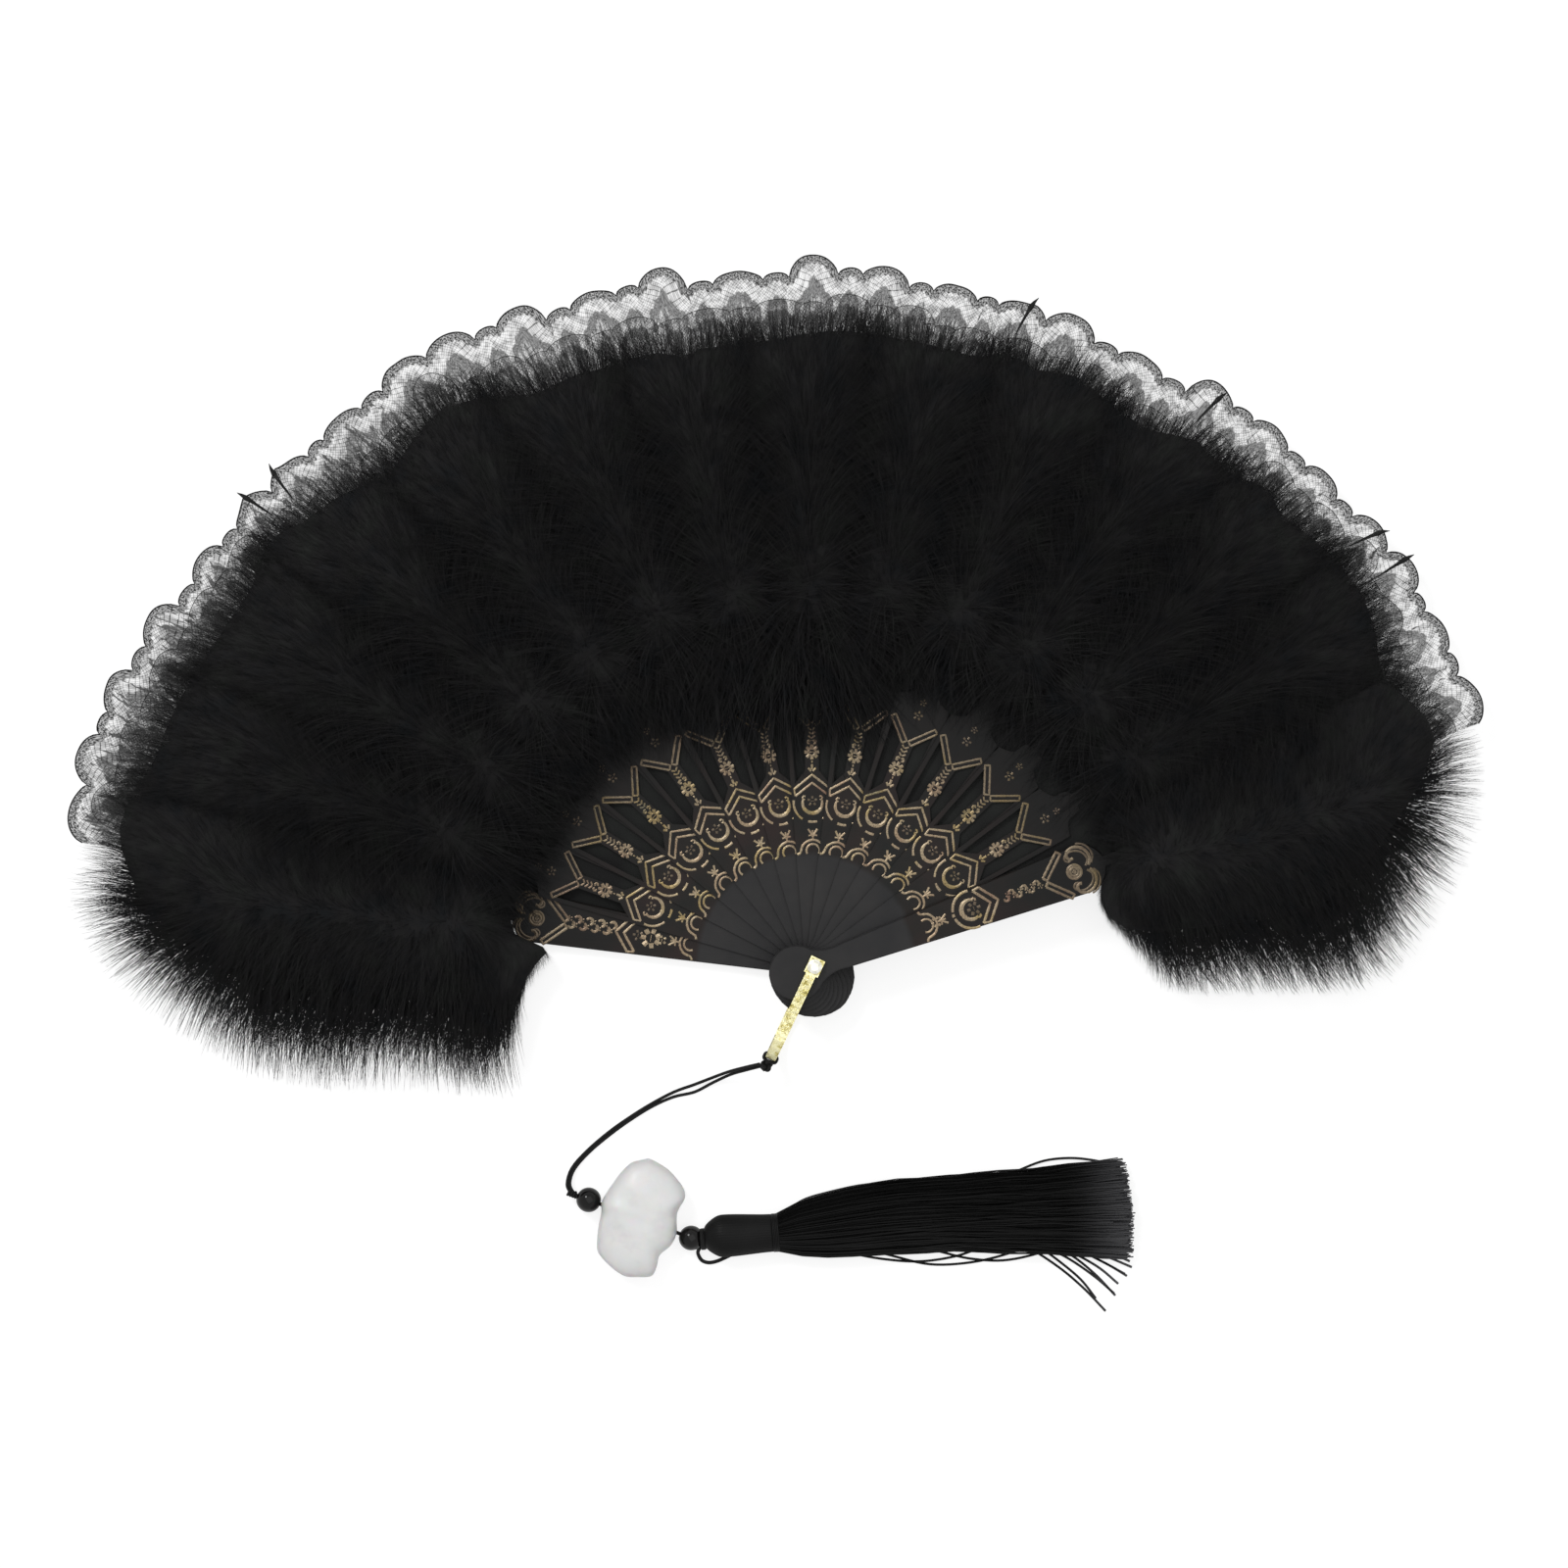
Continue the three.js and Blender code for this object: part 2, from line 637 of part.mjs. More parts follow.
function roundedBox(halfDepth, halfWidth) {
  const corner = KNOT_WRAP_WIDTH / 4;
  return new THREE.Shape([
    new THREE.Vector2(halfDepth, corner - halfWidth),
    new THREE.Vector2(halfDepth, halfWidth - corner),
    new THREE.Vector2(halfDepth - corner, halfWidth),
    new THREE.Vector2(corner - halfDepth, halfWidth),
    new THREE.Vector2(-halfDepth, halfWidth - corner),
    new THREE.Vector2(-halfDepth, corner - halfWidth),
    new THREE.Vector2(corner - halfDepth, -halfWidth),
    new THREE.Vector2(halfDepth - corner, -halfWidth),
  ]);
}

// Cord, beads and pendant

function tube(points, diameter, steps) {
  const sides = 8;
  const section = Array.from({ length: sides }, (_, i) => polar(diameter / 2, (360 * i) / sides));
  const shape = new THREE.Shape(section);
  const extrudePath = new THREE.CatmullRomCurve3(points.map((p) => new THREE.Vector3(...p)));
  return new THREE.ExtrudeGeometry(shape, { steps, extrudePath, bevelEnabled: false });
}

const chainDirection = BEAD_LOWER_PLACE.clone().sub(BEAD_UPPER_PLACE).normalize();
const chainDegrees = THREE.MathUtils.radToDeg(chainDirection.angle());
const CORD_LEVEL = BEAD_RADIUS;
const BORE_RADIUS = CARRIER_DIAMETER / 2 + CLEARANCE;

function beadGeometry() {
  const start = Math.asin(BORE_RADIUS / BEAD_RADIUS);
  const steps = 2 * ROUND_STEPS;
  const profile = Array.from({ length: steps + 1 }, (_, i) => {
    const turn = start + ((Math.PI - 2 * start) * i) / steps;
    return new THREE.Vector2(BEAD_RADIUS * Math.sin(turn), -BEAD_RADIUS * Math.cos(turn));
  });
  profile.push(profile[0].clone());
  const geometry = new THREE.LatheGeometry(profile, 3 * ROUND_STEPS);
  geometry.rotateZ(-Math.PI / 2);
  return geometry;
}

function pendantGeometry() {
  // The outline is measured on the table, so it is turned back by the chain's direction
  const middle = new THREE.Vector2();
  const outline = PENDANT_SHARES.slice().reverse().map(([across, up]) => (
    new THREE.Vector2(across * PENDANT_WIDTH, up * PENDANT_LENGTH)
      .rotateAround(middle, -chainDirection.angle())
  ));
  const body = toSolid(pad(outline, middle, PENDANT_THICKNESS / 2, PENDANT_THICKNESS));
  const bore = new THREE.CylinderGeometry(BORE_RADIUS, BORE_RADIUS, 2 * PENDANT_WIDTH, 2 * ROUND_STEPS);
  bore.rotateZ(Math.PI / 2);
  bore.translate(0, 0, CORD_LEVEL);
  return toGeometry(body.subtract(toSolid(bore)));
}

function carrierGeometry() {
  // The cord on which the beads and the pendant are strung, from the upper bead to the tassel
  const start = BEAD_UPPER_PLACE.clone().addScaledVector(chainDirection, -BEAD_RADIUS - CLEARANCE);
  const exit = BEAD_LOWER_PLACE.clone().addScaledVector(chainDirection, BEAD_RADIUS);
  const points = [start, BEAD_UPPER_PLACE, BEAD_LOWER_PLACE, exit]
    .map((p) => [p.x, p.y, CORD_LEVEL]);
  return tube(points, CARRIER_DIAMETER, LOOP_STEPS);
}

// Tassel: a wrapped head, a binding and a flat skirt of threads

function loft(sections) {
  // Each section is its place along the tassel, half its width and height, and its centre's level
  const sides = 12;
  const widen = 1 / Math.cos(Math.PI / sides);
  const rings = sections.map(({ along, halfWidth, halfHeight, level }) => (
    Array.from({ length: sides }, (_, i) => {
      const turn = (2 * Math.PI * (i + 1 / 2)) / sides;
      return new THREE.Vector3(
        along,
        halfWidth * widen * Math.cos(turn),
        level + halfHeight * widen * Math.sin(turn),
      );
    })
  ));
  const [first, last] = [sections[0], sections[sections.length - 1]];
  const startCap = new THREE.Vector3(first.along, 0, first.level);
  const endCap = new THREE.Vector3(last.along, 0, last.level);
  return fromRings(rings, startCap, endCap);
}

const HEAD_END_SHARE = 0.9;
const HEAD_SHARES = [[0, 0.5], [0.07, 0.85], [0.2, 1], [0.5, 0.98], [1, HEAD_END_SHARE]];
const SKIRT_SHARES = [[0, 0.37], [0.07, 0.48], [0.17, 0.66], [0.4, 0.8], [0.7, 0.91], [1, 1]];

function tasselHeadGeometry() {
  return loft(HEAD_SHARES.map(([along, size]) => ({
    along: along * TASSEL_HEAD_LENGTH,
    halfWidth: (size * TASSEL_HEAD_WIDTH) / 2,
    halfHeight: (size * TASSEL_HEAD_HEIGHT) / 2,
    level: TASSEL_HEAD_HEIGHT / 2 + BINDING_RISE,
  })));
}

function bindingGeometry() {
  const start = TASSEL_HEAD_LENGTH + CLEARANCE;
  return loft([start, start + BINDING_LENGTH].map((along) => ({
    along,
    halfWidth: (HEAD_END_SHARE * TASSEL_HEAD_WIDTH) / 2 + BINDING_RISE,
    halfHeight: (HEAD_END_SHARE * TASSEL_HEAD_HEIGHT) / 2 + BINDING_RISE,
    level: TASSEL_HEAD_HEIGHT / 2 + BINDING_RISE,
  })));
}

function skirtGeometry() {
  const start = TASSEL_HEAD_LENGTH + BINDING_LENGTH + 2 * CLEARANCE;
  const length = TASSEL_LENGTH - start;
  return loft(SKIRT_SHARES.map(([along, size]) => {
    const halfHeight = THREE.MathUtils.lerp(TASSEL_HEAD_HEIGHT, SKIRT_HEIGHT, along) / 2;
    return {
      along: start + along * length,
      halfWidth: (size * SKIRT_WIDTH) / 2,
      halfHeight,
      level: halfHeight,
    };
  }));
}

// The whole fan

const fan = new THREE.Group();
for (let stick = 0; stick < STICK_COUNT; stick += 1) {
  const name = stickName(stick);
  const level = new THREE.Vector3(0, 0, stickLevel[stick]);
  const degrees = stickDegrees[stick];
  fan.add(place(stickGeometry(stick), name, material(0x1c1b1b, 0.45, 0), degrees, level));
  fan.add(place(plumeGeometry(stick), `plume_${name}`, material(0x0b0b0d, 0.95, 0), degrees));
}
for (let stick = 0; stick + 1 < STICK_COUNT; stick += 1) {
  const name = `lace_${String(stick + 1).padStart(2, '0')}`;
  fan.add(place(laceGeometry(stick), name, material(0x2b2b2e, 0.9, 0)));
}
fan.add(place(rivetGeometry(), 'rivet', material(0xcbb26a, 0.3, 1)));
fan.add(place(rivetCapGeometry(), 'rivet_cap', material(0xd8cfa8, 0.3, 1)));
fan.add(place(shackleGeometry(), 'shackle', material(0xcdb35c, 0.3, 1), SHACKLE_DEGREES));
fan.add(place(knotGeometry(), 'cord_knot', material(0x0c0c0c, 0.8, 0), SHACKLE_DEGREES));
const cordLook = material(0x0e0e0e, 0.75, 0);
fan.add(place(tube(STRAND_A_ROUTE, CORD_DIAMETER, STRAND_STEPS), 'cord_strand_a', cordLook));
const secondCordLook = material(0x0e0e0e, 0.75, 0);
fan.add(place(tube(STRAND_B_ROUTE, CORD_DIAMETER, STRAND_STEPS), 'cord_strand_b', secondCordLook));
fan.add(place(carrierGeometry(), 'carrier_cord', material(0x0e0e0e, 0.75, 0)));

const onTable = (point, level) => new THREE.Vector3(point.x, point.y, level);
for (const [name, point] of [['bead_upper', BEAD_UPPER_PLACE], ['bead_lower', BEAD_LOWER_PLACE]]) {
  const look = material(0x070707, 0.12, 0);
  fan.add(place(beadGeometry(), name, look, chainDegrees, onTable(point, CORD_LEVEL)));
}
const pendantPlace = onTable(BEAD_UPPER_PLACE.clone().add(BEAD_LOWER_PLACE).divideScalar(2), 0);
fan.add(place(pendantGeometry(), 'pendant', material(0xe9e7e6, 0.35, 0), chainDegrees, pendantPlace));

fan.add(place(tube(LOOP_ROUTE, CORD_DIAMETER, LOOP_STEPS), 'tassel_loop', material(0x0e0e0e, 0.75, 0)));
const tasselPieces = {
  tassel_head: tasselHeadGeometry(),
  tassel_binding: bindingGeometry(),
  tassel_skirt: skirtGeometry(),
};
for (const [name, geometry] of Object.entries(tasselPieces)) {
  const look = material(0x0c0c0d, 0.7, 0);
  fan.add(place(geometry, name, look, TASSEL_DEGREES, onTable(TASSEL_PLACE, 0)));
}

export default fan;
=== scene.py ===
# %% [markdown]
# # A black feather and lace folding fan
# The fan lies open on a white table, seen from straight above. Fourteen sticks turn on one rivet.
# Each stick carries a plume of down, and gathered lace joins the sticks at the rim. A brass
# shackle on the rivet holds a cord with two beads, a pendant and a long tassel.
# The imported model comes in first: its nodes give every place and every moving body.

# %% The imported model
import math
import bpy
import numpy as np
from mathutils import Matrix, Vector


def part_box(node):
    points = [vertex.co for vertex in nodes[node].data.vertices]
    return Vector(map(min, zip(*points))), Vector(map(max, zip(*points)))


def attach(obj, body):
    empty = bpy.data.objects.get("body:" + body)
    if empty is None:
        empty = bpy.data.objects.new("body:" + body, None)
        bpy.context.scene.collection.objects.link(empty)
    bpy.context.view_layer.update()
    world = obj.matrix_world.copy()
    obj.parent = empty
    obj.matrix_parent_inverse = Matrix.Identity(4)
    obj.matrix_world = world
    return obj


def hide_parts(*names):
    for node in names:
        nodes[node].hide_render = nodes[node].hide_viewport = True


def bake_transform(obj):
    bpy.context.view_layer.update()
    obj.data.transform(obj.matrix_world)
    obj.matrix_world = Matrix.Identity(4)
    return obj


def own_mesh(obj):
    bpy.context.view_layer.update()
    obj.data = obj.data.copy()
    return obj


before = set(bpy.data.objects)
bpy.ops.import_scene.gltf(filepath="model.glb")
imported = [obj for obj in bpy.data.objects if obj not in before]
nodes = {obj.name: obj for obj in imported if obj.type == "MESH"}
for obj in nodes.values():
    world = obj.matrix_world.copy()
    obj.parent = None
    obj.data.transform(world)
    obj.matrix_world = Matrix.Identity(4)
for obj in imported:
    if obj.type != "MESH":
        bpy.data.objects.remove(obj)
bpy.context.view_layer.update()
MM = 0.001


# %% [markdown]
# ## Where the sticks lie
# The sticks are spread evenly, apart from the gap beside each guard. Every later step places its
# work by the stick's direction and by the height of its upper face in the stack.

# %% Directions and levels of the sticks
STICK_COUNT = 14
stick_degrees = [170.5] + [160.4 - 11.615 * k for k in range(12)]
stick_degrees.append(stick_degrees[-1] - 12.625)
stick_names = ["guard_left"] + [f"rib_{k:02d}" for k in range(1, 13)] + ["guard_right"]
stick_bodies = ["left_guard"] + [f"stick_{k:02d}" for k in range(1, 13)] + ["right_guard"]
stick_low = [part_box(name)[0].z for name in stick_names]
stick_top = [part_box(name)[1].z for name in stick_names]


def is_guard(stick):
    return stick in (0, STICK_COUNT - 1)


def outer_side(stick):
    """The side past which a guard's down hangs. Side +1 is anticlockwise."""
    return -1 if stick == STICK_COUNT - 1 else 1


print("stick faces from", round(stick_top[0] / MM, 2), "to", round(stick_top[-1] / MM, 2), "mm")

# %% [markdown]
# ## Camera
# The photograph looks straight down, with no visible slant, so the camera stands high above the
# table with a long lens. The frame is half a metre wide at the height of the sticks.

# %% Camera over the table
SENSOR = 36.0
FRAME_WIDTH = 0.5
CAMERA_HEIGHT = 1.6
STICK_HEIGHT = 0.010
FRAME_MIDDLE = (-0.00969, 0.0578)
lens = bpy.data.cameras.new("camera")
lens.sensor_width = SENSOR
lens.lens = SENSOR * CAMERA_HEIGHT / FRAME_WIDTH
lens.clip_end = 20.0
camera = bpy.data.objects.new("camera", lens)
camera.location = (*FRAME_MIDDLE, CAMERA_HEIGHT + STICK_HEIGHT)
bpy.context.scene.collection.objects.link(camera)
bpy.context.scene.camera = camera
bpy.context.scene.view_settings.view_transform = "Standard"
print("lens", round(lens.lens, 1), "mm")

# %% [markdown]
# ## Table and light
# The picture has a pure white ground with hardly a shadow. The table scatters part of the light
# and glows a little for the camera, for gloss and for clear things, so that its lit part is white
# while the fan still darkens it a little. A broad lamp, a small one for the highlights on the
# beads, and the pale room light the fan evenly.


# %% Helpers for objects
def keep(obj):
    bpy.context.scene.collection.objects.link(obj)
    return obj


def mesh_object(name, points, faces, finish=None):
    """A new object from points in metres and faces."""
    mesh = bpy.data.meshes.new(name)
    mesh.from_pydata([tuple(p) for p in points], [], faces)
    mesh.validate()
    mesh.polygons.foreach_set("use_smooth", [True] * len(mesh.polygons))
    if finish:
        mesh.materials.append(finish.material)
    return keep(bpy.data.objects.new(name, mesh))


def grid_faces(rows, columns, closed_down=False, closed_round=False, turned=False):
    """Faces between the points of a grid, which may close on itself both ways."""
    faces = []
    for r in range(rows if closed_down else rows - 1):
        for c in range(columns if closed_round else columns - 1):
            here, under = r * columns, (r + 1) % rows * columns
            beside = (c + 1) % columns
            face = (here + c, here + beside, under + beside, under + c)
            faces.append(face[:1] + face[:0:-1] if turned else face)
    return faces


def skin_faces(rings, size, turned=False):
    """Faces of a closed skin over rings of points, with a face at both ends."""
    first, last = tuple(range(size))[::-1], tuple((rings - 1) * size + i for i in range(size))
    ends = [first[::-1], last[::-1]] if turned else [first, last]
    return grid_faces(rings, size, closed_round=True, turned=turned) + ends


def mark(mesh, name, values, where="POINT"):
    """Keeps a number for each point or corner of a mesh."""
    mesh.attributes.new(name, "FLOAT", where).data.foreach_set(
        "value", np.asarray(values, float).ravel())


def plain_mesh(obj, name):
    """What an object shows with its modifiers, as a mesh."""
    mesh = bpy.data.meshes.new_from_object(
        obj.evaluated_get(bpy.context.evaluated_depsgraph_get()))
    mesh.name = name
    return mesh


def belongs(piece, body, slot, *replaced):
    """The body that a piece rides on, its slot, which is not used, and the nodes whose place it
    takes.
    """
    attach(piece, body)
    if replaced:
        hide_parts(*replaced)
    return piece


# %% Helpers for nodes
class Nodes:
    """A tree of nodes, with short calls to add and join them."""

    def __init__(self, tree):
        self.nodes, self.links = tree.nodes, tree.links

    def fill(self, socket, value):
        if isinstance(value, bpy.types.NodeSocket):
            self.links.new(value, socket)
        else:
            socket.default_value = value

    def add(self, kind, inputs=None, **settings):
        """A new node. An input takes a plain value or the output of another node."""
        node = self.nodes.new(kind)
        for key, value in settings.items():
            setattr(node, key, value)
        for slot, value in (inputs or {}).items():
            self.fill(node.inputs[slot], value)
        return node

    def give(self, kind, inputs=None, out=0, **settings):
        """One output of a new node."""
        return self.add(kind, inputs, **settings).outputs[out]

    def math(self, operation, a, b=0.0, **settings):
        return self.give("ShaderNodeMath", {0: a, 1: b}, operation=operation, **settings)

    def plus(self, a, b):
        return self.math("ADD", a, b)

    def minus(self, a, b):
        return self.math("SUBTRACT", a, b)

    def times(self, a, b):
        return self.math("MULTIPLY", a, b)

    def vector(self, operation, a, b=(0, 0, 0), out=0):
        return self.give("ShaderNodeVectorMath", {0: a, 1: b}, out, operation=operation)

    def scale(self, vector, factor):
        return self.give("ShaderNodeVectorMath", {0: vector, "Scale": factor}, operation="SCALE")

    def xyz(self, x=0.0, y=0.0, z=0.0):
        return self.give("ShaderNodeCombineXYZ", {"X": x, "Y": y, "Z": z})

    def parts(self, vector):
        return self.add("ShaderNodeSeparateXYZ", {0: vector}).outputs

    def span(self, value, low=0.0, high=1.0, start=0.0, end=1.0, kind="LINEAR"):
        """A value from start to end turned into one from low to high."""
        limits = {"From Min": start, "From Max": end, "To Min": low, "To Max": high}
        return self.give("ShaderNodeMapRange", {"Value": value, **limits}, "Result",
                         interpolation_type=kind)

    def plainly_seen(self):
        """1 for what the camera sees, straight, in gloss or through clear things, and else 0."""
        ray = self.add("ShaderNodeLightPath").outputs
        seen = self.math("MAXIMUM", ray["Is Camera Ray"], ray["Is Glossy Ray"])
        return self.math("MAXIMUM", seen, ray["Is Transmission Ray"])


class Shader(Nodes):
    """A finish. Its inputs are written with _ for a space."""

    def __init__(self, name, **values):
        self.material = bpy.data.materials.new(name)
        self.material.use_nodes = True
        super().__init__(self.material.node_tree)
        self.put(**values)

    def put(self, **values):
        for key, value in values.items():
            self.fill(self.nodes["Principled BSDF"].inputs[key.replace("_", " ")], value)

    def place(self):
        found = self.nodes.get("Place") or self.add("ShaderNodeTexCoord", name="Place")
        return found.outputs["Object"]

    def from_rivet(self):
        return self.vector("LENGTH", self.place(), out="Value")

    def named(self, name):
        return self.give("ShaderNodeAttribute", out="Fac", attribute_name=name)

    def noise(self, scale, detail=2.0, roughness=0.5, vector=None):
        return self.give("ShaderNodeTexNoise", {"Scale": scale, "Detail": detail, "Roughness":
                                                roughness, "Vector": vector or self.place()})

    def ramp(self, value, stops):
        node = self.add("ShaderNodeValToRGB", {"Fac": value})
        elements = node.color_ramp.elements
        while len(elements) < len(stops):
            elements.new(0.5)
        for element, (at, colour) in zip(elements, stops):
            element.position = at
            element.color = (*colour, 1)
        return node.outputs[0]

    def mix(self, share, a, b, blend="MIX"):
        return self.give("ShaderNodeMix", {0: share, 6: a, 7: b}, 2, data_type="RGBA",
                         blend_type=blend)

    def bump(self, height, strength, distance):
        self.put(Normal=self.give("ShaderNodeBump", {"Strength": strength, "Distance": distance,
                                                     "Height": height}))

    def on(self, *names):
        """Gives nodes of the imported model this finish."""
        for name in names:
            nodes[name].data.materials.clear()
            nodes[name].data.materials.append(self.material)


def grey(level):
    return (level, level, level)


# %% Table
table = Shader("white_table", Base_Color=(0.36, 0.36, 0.36, 1), Roughness=0.9,
               Specular_IOR_Level=0.0, Emission_Color=(1, 1, 1, 1))
TABLE_HALF, TABLE_GLOW, ROOM_LIGHT = 6.0, 0.78, 0.45
table.put(Emission_Strength=table.times(table.plainly_seen(), TABLE_GLOW))
corners = [(x * TABLE_HALF, y * TABLE_HALF, 0) for x, y in ((-1, -1), (1, -1), (1, 1), (-1, 1))]
mesh_object("table_top", corners, [(0, 1, 2, 3)], table)
print("table", 2 * TABLE_HALF, "m wide")


# %% Lamps and room light
def lamp(name, size, power, place):
    """A square lamp that points at the rivet."""
    light = bpy.data.lights.new(name, "AREA")
    light.shape, light.size, light.energy = "SQUARE", size, power
    obj = keep(bpy.data.objects.new(name, light))
    obj.location = place
    obj.rotation_euler = (-obj.location).to_track_quat("-Z", "Y").to_euler()


lamp("broad_lamp", 2.2, 12.0, (0.3, 0.2, 2.2))
lamp("small_lamp", 0.5, 15.0, (-0.9, 1.1, 1.7))
room = bpy.data.worlds.new("room")
bpy.context.scene.world = room
room.use_nodes = True
air = Nodes(room.node_tree)
backdrop = air.nodes["Background"].inputs
backdrop["Color"].default_value = (1, 1, 1, 1)
air.fill(backdrop["Strength"], air.span(air.plainly_seen(), ROOM_LIGHT, 1.0))
print("two lamps and a pale room")

# %% [markdown]
# ## Cords
# Two thin strands leave the knot on the shackle side by side, drop to the table, part a little,
# and run to the upper bead. One more cord carries the beads and the pendant. They are limp twisted
# cords, so each is a smooth curve with a round section, laid on the route of its solid.

# %% Black cord finish
cord_finish = Shader("twisted_black_cord", Roughness=0.62, Specular_IOR_Level=0.15)
twist = cord_finish.add("ShaderNodeTexWave", {"Scale": 900.0, "Distortion": 0.6, "Vector":
                                              cord_finish.place()},
                        wave_type="BANDS", bands_direction="DIAGONAL").outputs
cord_finish.put(Base_Color=cord_finish.ramp(twist[0], [(0.1, grey(0.003)), (0.9, grey(0.014))]))
cord_finish.bump(twist["Fac"], 0.5, 0.00015)
print("cord finish with", len(cord_finish.nodes), "nodes")

# %% The routes of the free cords, the same as their solids'
STRAND_A = [
    (-17.4, -31.4, 11.3), (-21.8, -32.5, 9.4), (-27.3, -34.2, 5.2), (-32.6, -36.3, 1.9),
    (-38.4, -38.6, 0.6), (-45.0, -41.0, 0.5), (-52.6, -45.0, 0.5), (-59.9, -49.6, 0.5),
    (-66.3, -54.2, 0.5), (-72.9, -59.9, 0.6), (-77.7, -65.4, 1.2), (-79.2, -70.4, 2.6),
    (-78.0, -73.2, 3.7),
]
STRAND_B = [
    (-17.2, -32.2, 10.4), (-21.8, -33.5, 8.3), (-26.9, -35.2, 4.2), (-32.6, -38.0, 1.3),
    (-38.4, -41.0, 0.5), (-45.2, -42.6, 0.5), (-52.3, -45.8, 0.5), (-59.5, -50.3, 0.5),
    (-65.8, -54.9, 0.5), (-72.3, -60.4, 0.6), (-76.9, -65.7, 1.2), (-78.3, -70.1, 2.6),
    (-77.3, -72.8, 3.7),
]
LOOP = [
    (-36.6, -90.6, 3.2), (-37.3, -92.5, 1.4), (-36.1, -94.9, 0.7), (-33.9, -95.7, 0.65),
    (-31.4, -95.3, 0.65), (-29.0, -94.3, 0.9), (-26.7, -93.0, 2.2), (-25.6, -91.6, 4.2),
]
CORD_DIAMETER = 1.0 * MM
CARRIER_DIAMETER = 1.2 * MM


def smooth_route(points, steps):
    """Points on a smooth curve through the given ones, with even steps between each two."""
    p = np.array(points, float)
    p = np.vstack([2 * p[0] - p[1], p, 2 * p[-1] - p[-2]])
    route = []
    for i in range(1, len(p) - 2):
        for t in np.arange(steps) / steps:
            a, b, c, d = p[i - 1:i + 3]
            route.append(0.5 * (2 * b + (c - a) * t + (2 * a - 5 * b + 4 * c - d) * t * t
                                + (3 * b - a - 3 * c + d) * t ** 3))
    route.append(p[-2])
    return np.array(route)


def cord_curve(name, points, diameter):
    """A poly curve with a round section. The points are in metres."""
    curve = bpy.data.curves.new(name, "CURVE")
    curve.dimensions = "3D"
    curve.bevel_depth = diameter / 2
    curve.bevel_resolution = 3
    curve.use_fill_caps = True
    spline = curve.splines.new("POLY")
    spline.points.add(len(points) - 1)
    spline.points.foreach_set("co", np.c_[points, np.ones(len(points))].ravel())
    curve.materials.append(cord_finish.material)
    return keep(bpy.data.objects.new(name, curve))


def route_length(points):
    return float(np.linalg.norm(np.diff(points, axis=0), axis=1).sum())


for name, points in [("cord_strand_a", STRAND_A), ("cord_strand_b", STRAND_B)]:
    route = smooth_route(points, 4) * MM
    strand = cord_curve("free_" + name, route, CORD_DIAMETER)
    belongs(strand, "tassel_cord", "black_cord", name)
    print(name, round(route_length(route) / MM, 1), "mm long")

# %% [markdown]
# The cord through the beads and the pendant is one straight pull, and a slack loop of it comes
# out below the tassel's head. Both lie in their solids' places.

# %% Carrier cord and slack loop
BEAD_UPPER = np.array([-72.2, -75.3, 4.0]) * MM
BEAD_LOWER = np.array([-39.4, -87.5, 4.0]) * MM
chain = (BEAD_LOWER - BEAD_UPPER) / np.linalg.norm(BEAD_LOWER - BEAD_UPPER)
carrier_route = np.linspace(BEAD_UPPER - chain * 4.3 * MM, BEAD_LOWER + chain * 4.0 * MM, 24)
carrier = cord_curve("bead_cord", carrier_route, CARRIER_DIAMETER)
belongs(carrier, "tassel_cord", "black_cord", "carrier_cord")
loop = cord_curve("slack_loop", smooth_route(LOOP, 5) * MM, CARRIER_DIAMETER)
belongs(loop, "tassel_cord", "black_cord", "tassel_loop")
print("cord through the beads", round(route_length(carrier_route) / MM, 1), "mm long")

# %% [markdown]
# ## Sticks
# The sticks are moulded black plastic with a fine grain drawn along them and a soft sheen. The
# grain follows each stick, so the finish reads the distance and the direction from the rivet:
# one finish then serves all fourteen, whichever way they point. From 38 mm on, the stamping
# leaves a thin brownish lacquer on the face, darker than the plain part by the hand.

# %% Black stick finish
stick = Shader("black_stick", Specular_IOR_Level=0.16)
place, reach = stick.parts(stick.place()), stick.from_rivet()
direction = stick.math("ARCTAN2", place["Y"], place["X"])
GRAIN_SPREAD = 9.0
grain = stick.noise(14.0, 5.0, 0.65, stick.xyz(stick.times(direction, GRAIN_SPREAD),
                                               stick.times(reach, GRAIN_SPREAD)))
cloud = stick.noise(60.0, 3.0, 0.6)
plain_tone = stick.ramp(cloud, [(0.3, (0.017, 0.017, 0.018)), (0.7, (0.027, 0.026, 0.026))])
stamped_tone = stick.ramp(cloud, [(0.35, (0.006, 0.0065, 0.0058)),
                                  (0.5, (0.011, 0.0085, 0.0072)), (0.66, (0.017, 0.010, 0.009))])
tone = stick.mix(stick.span(reach, start=0.0370, end=0.0385), plain_tone, stamped_tone)
# Outwards from 50 mm to 90 mm the colour falls to a tenth: painted shade under the veil of down
# that reaches in over the sticks.
stick.put(Base_Color=stick.scale(tone, stick.span(reach, 1.0, 0.1, start=0.050, end=0.090)),
          Roughness=stick.span(grain, 0.34, 0.56))
stick.bump(grain, 0.25, 0.0002)
stick.on(*stick_names)
print(len(stick_names), "sticks share the finish")

# %% [markdown]
# ## Trees that make what repeats
# Down, foil lines, threads and beading all repeat one small shape many times. Each comes from a
# tree of geometry nodes, with named inputs for its sizes and a fixed seed. The result is turned
# into a plain mesh, one to each moving body, and the modifier is taken off.


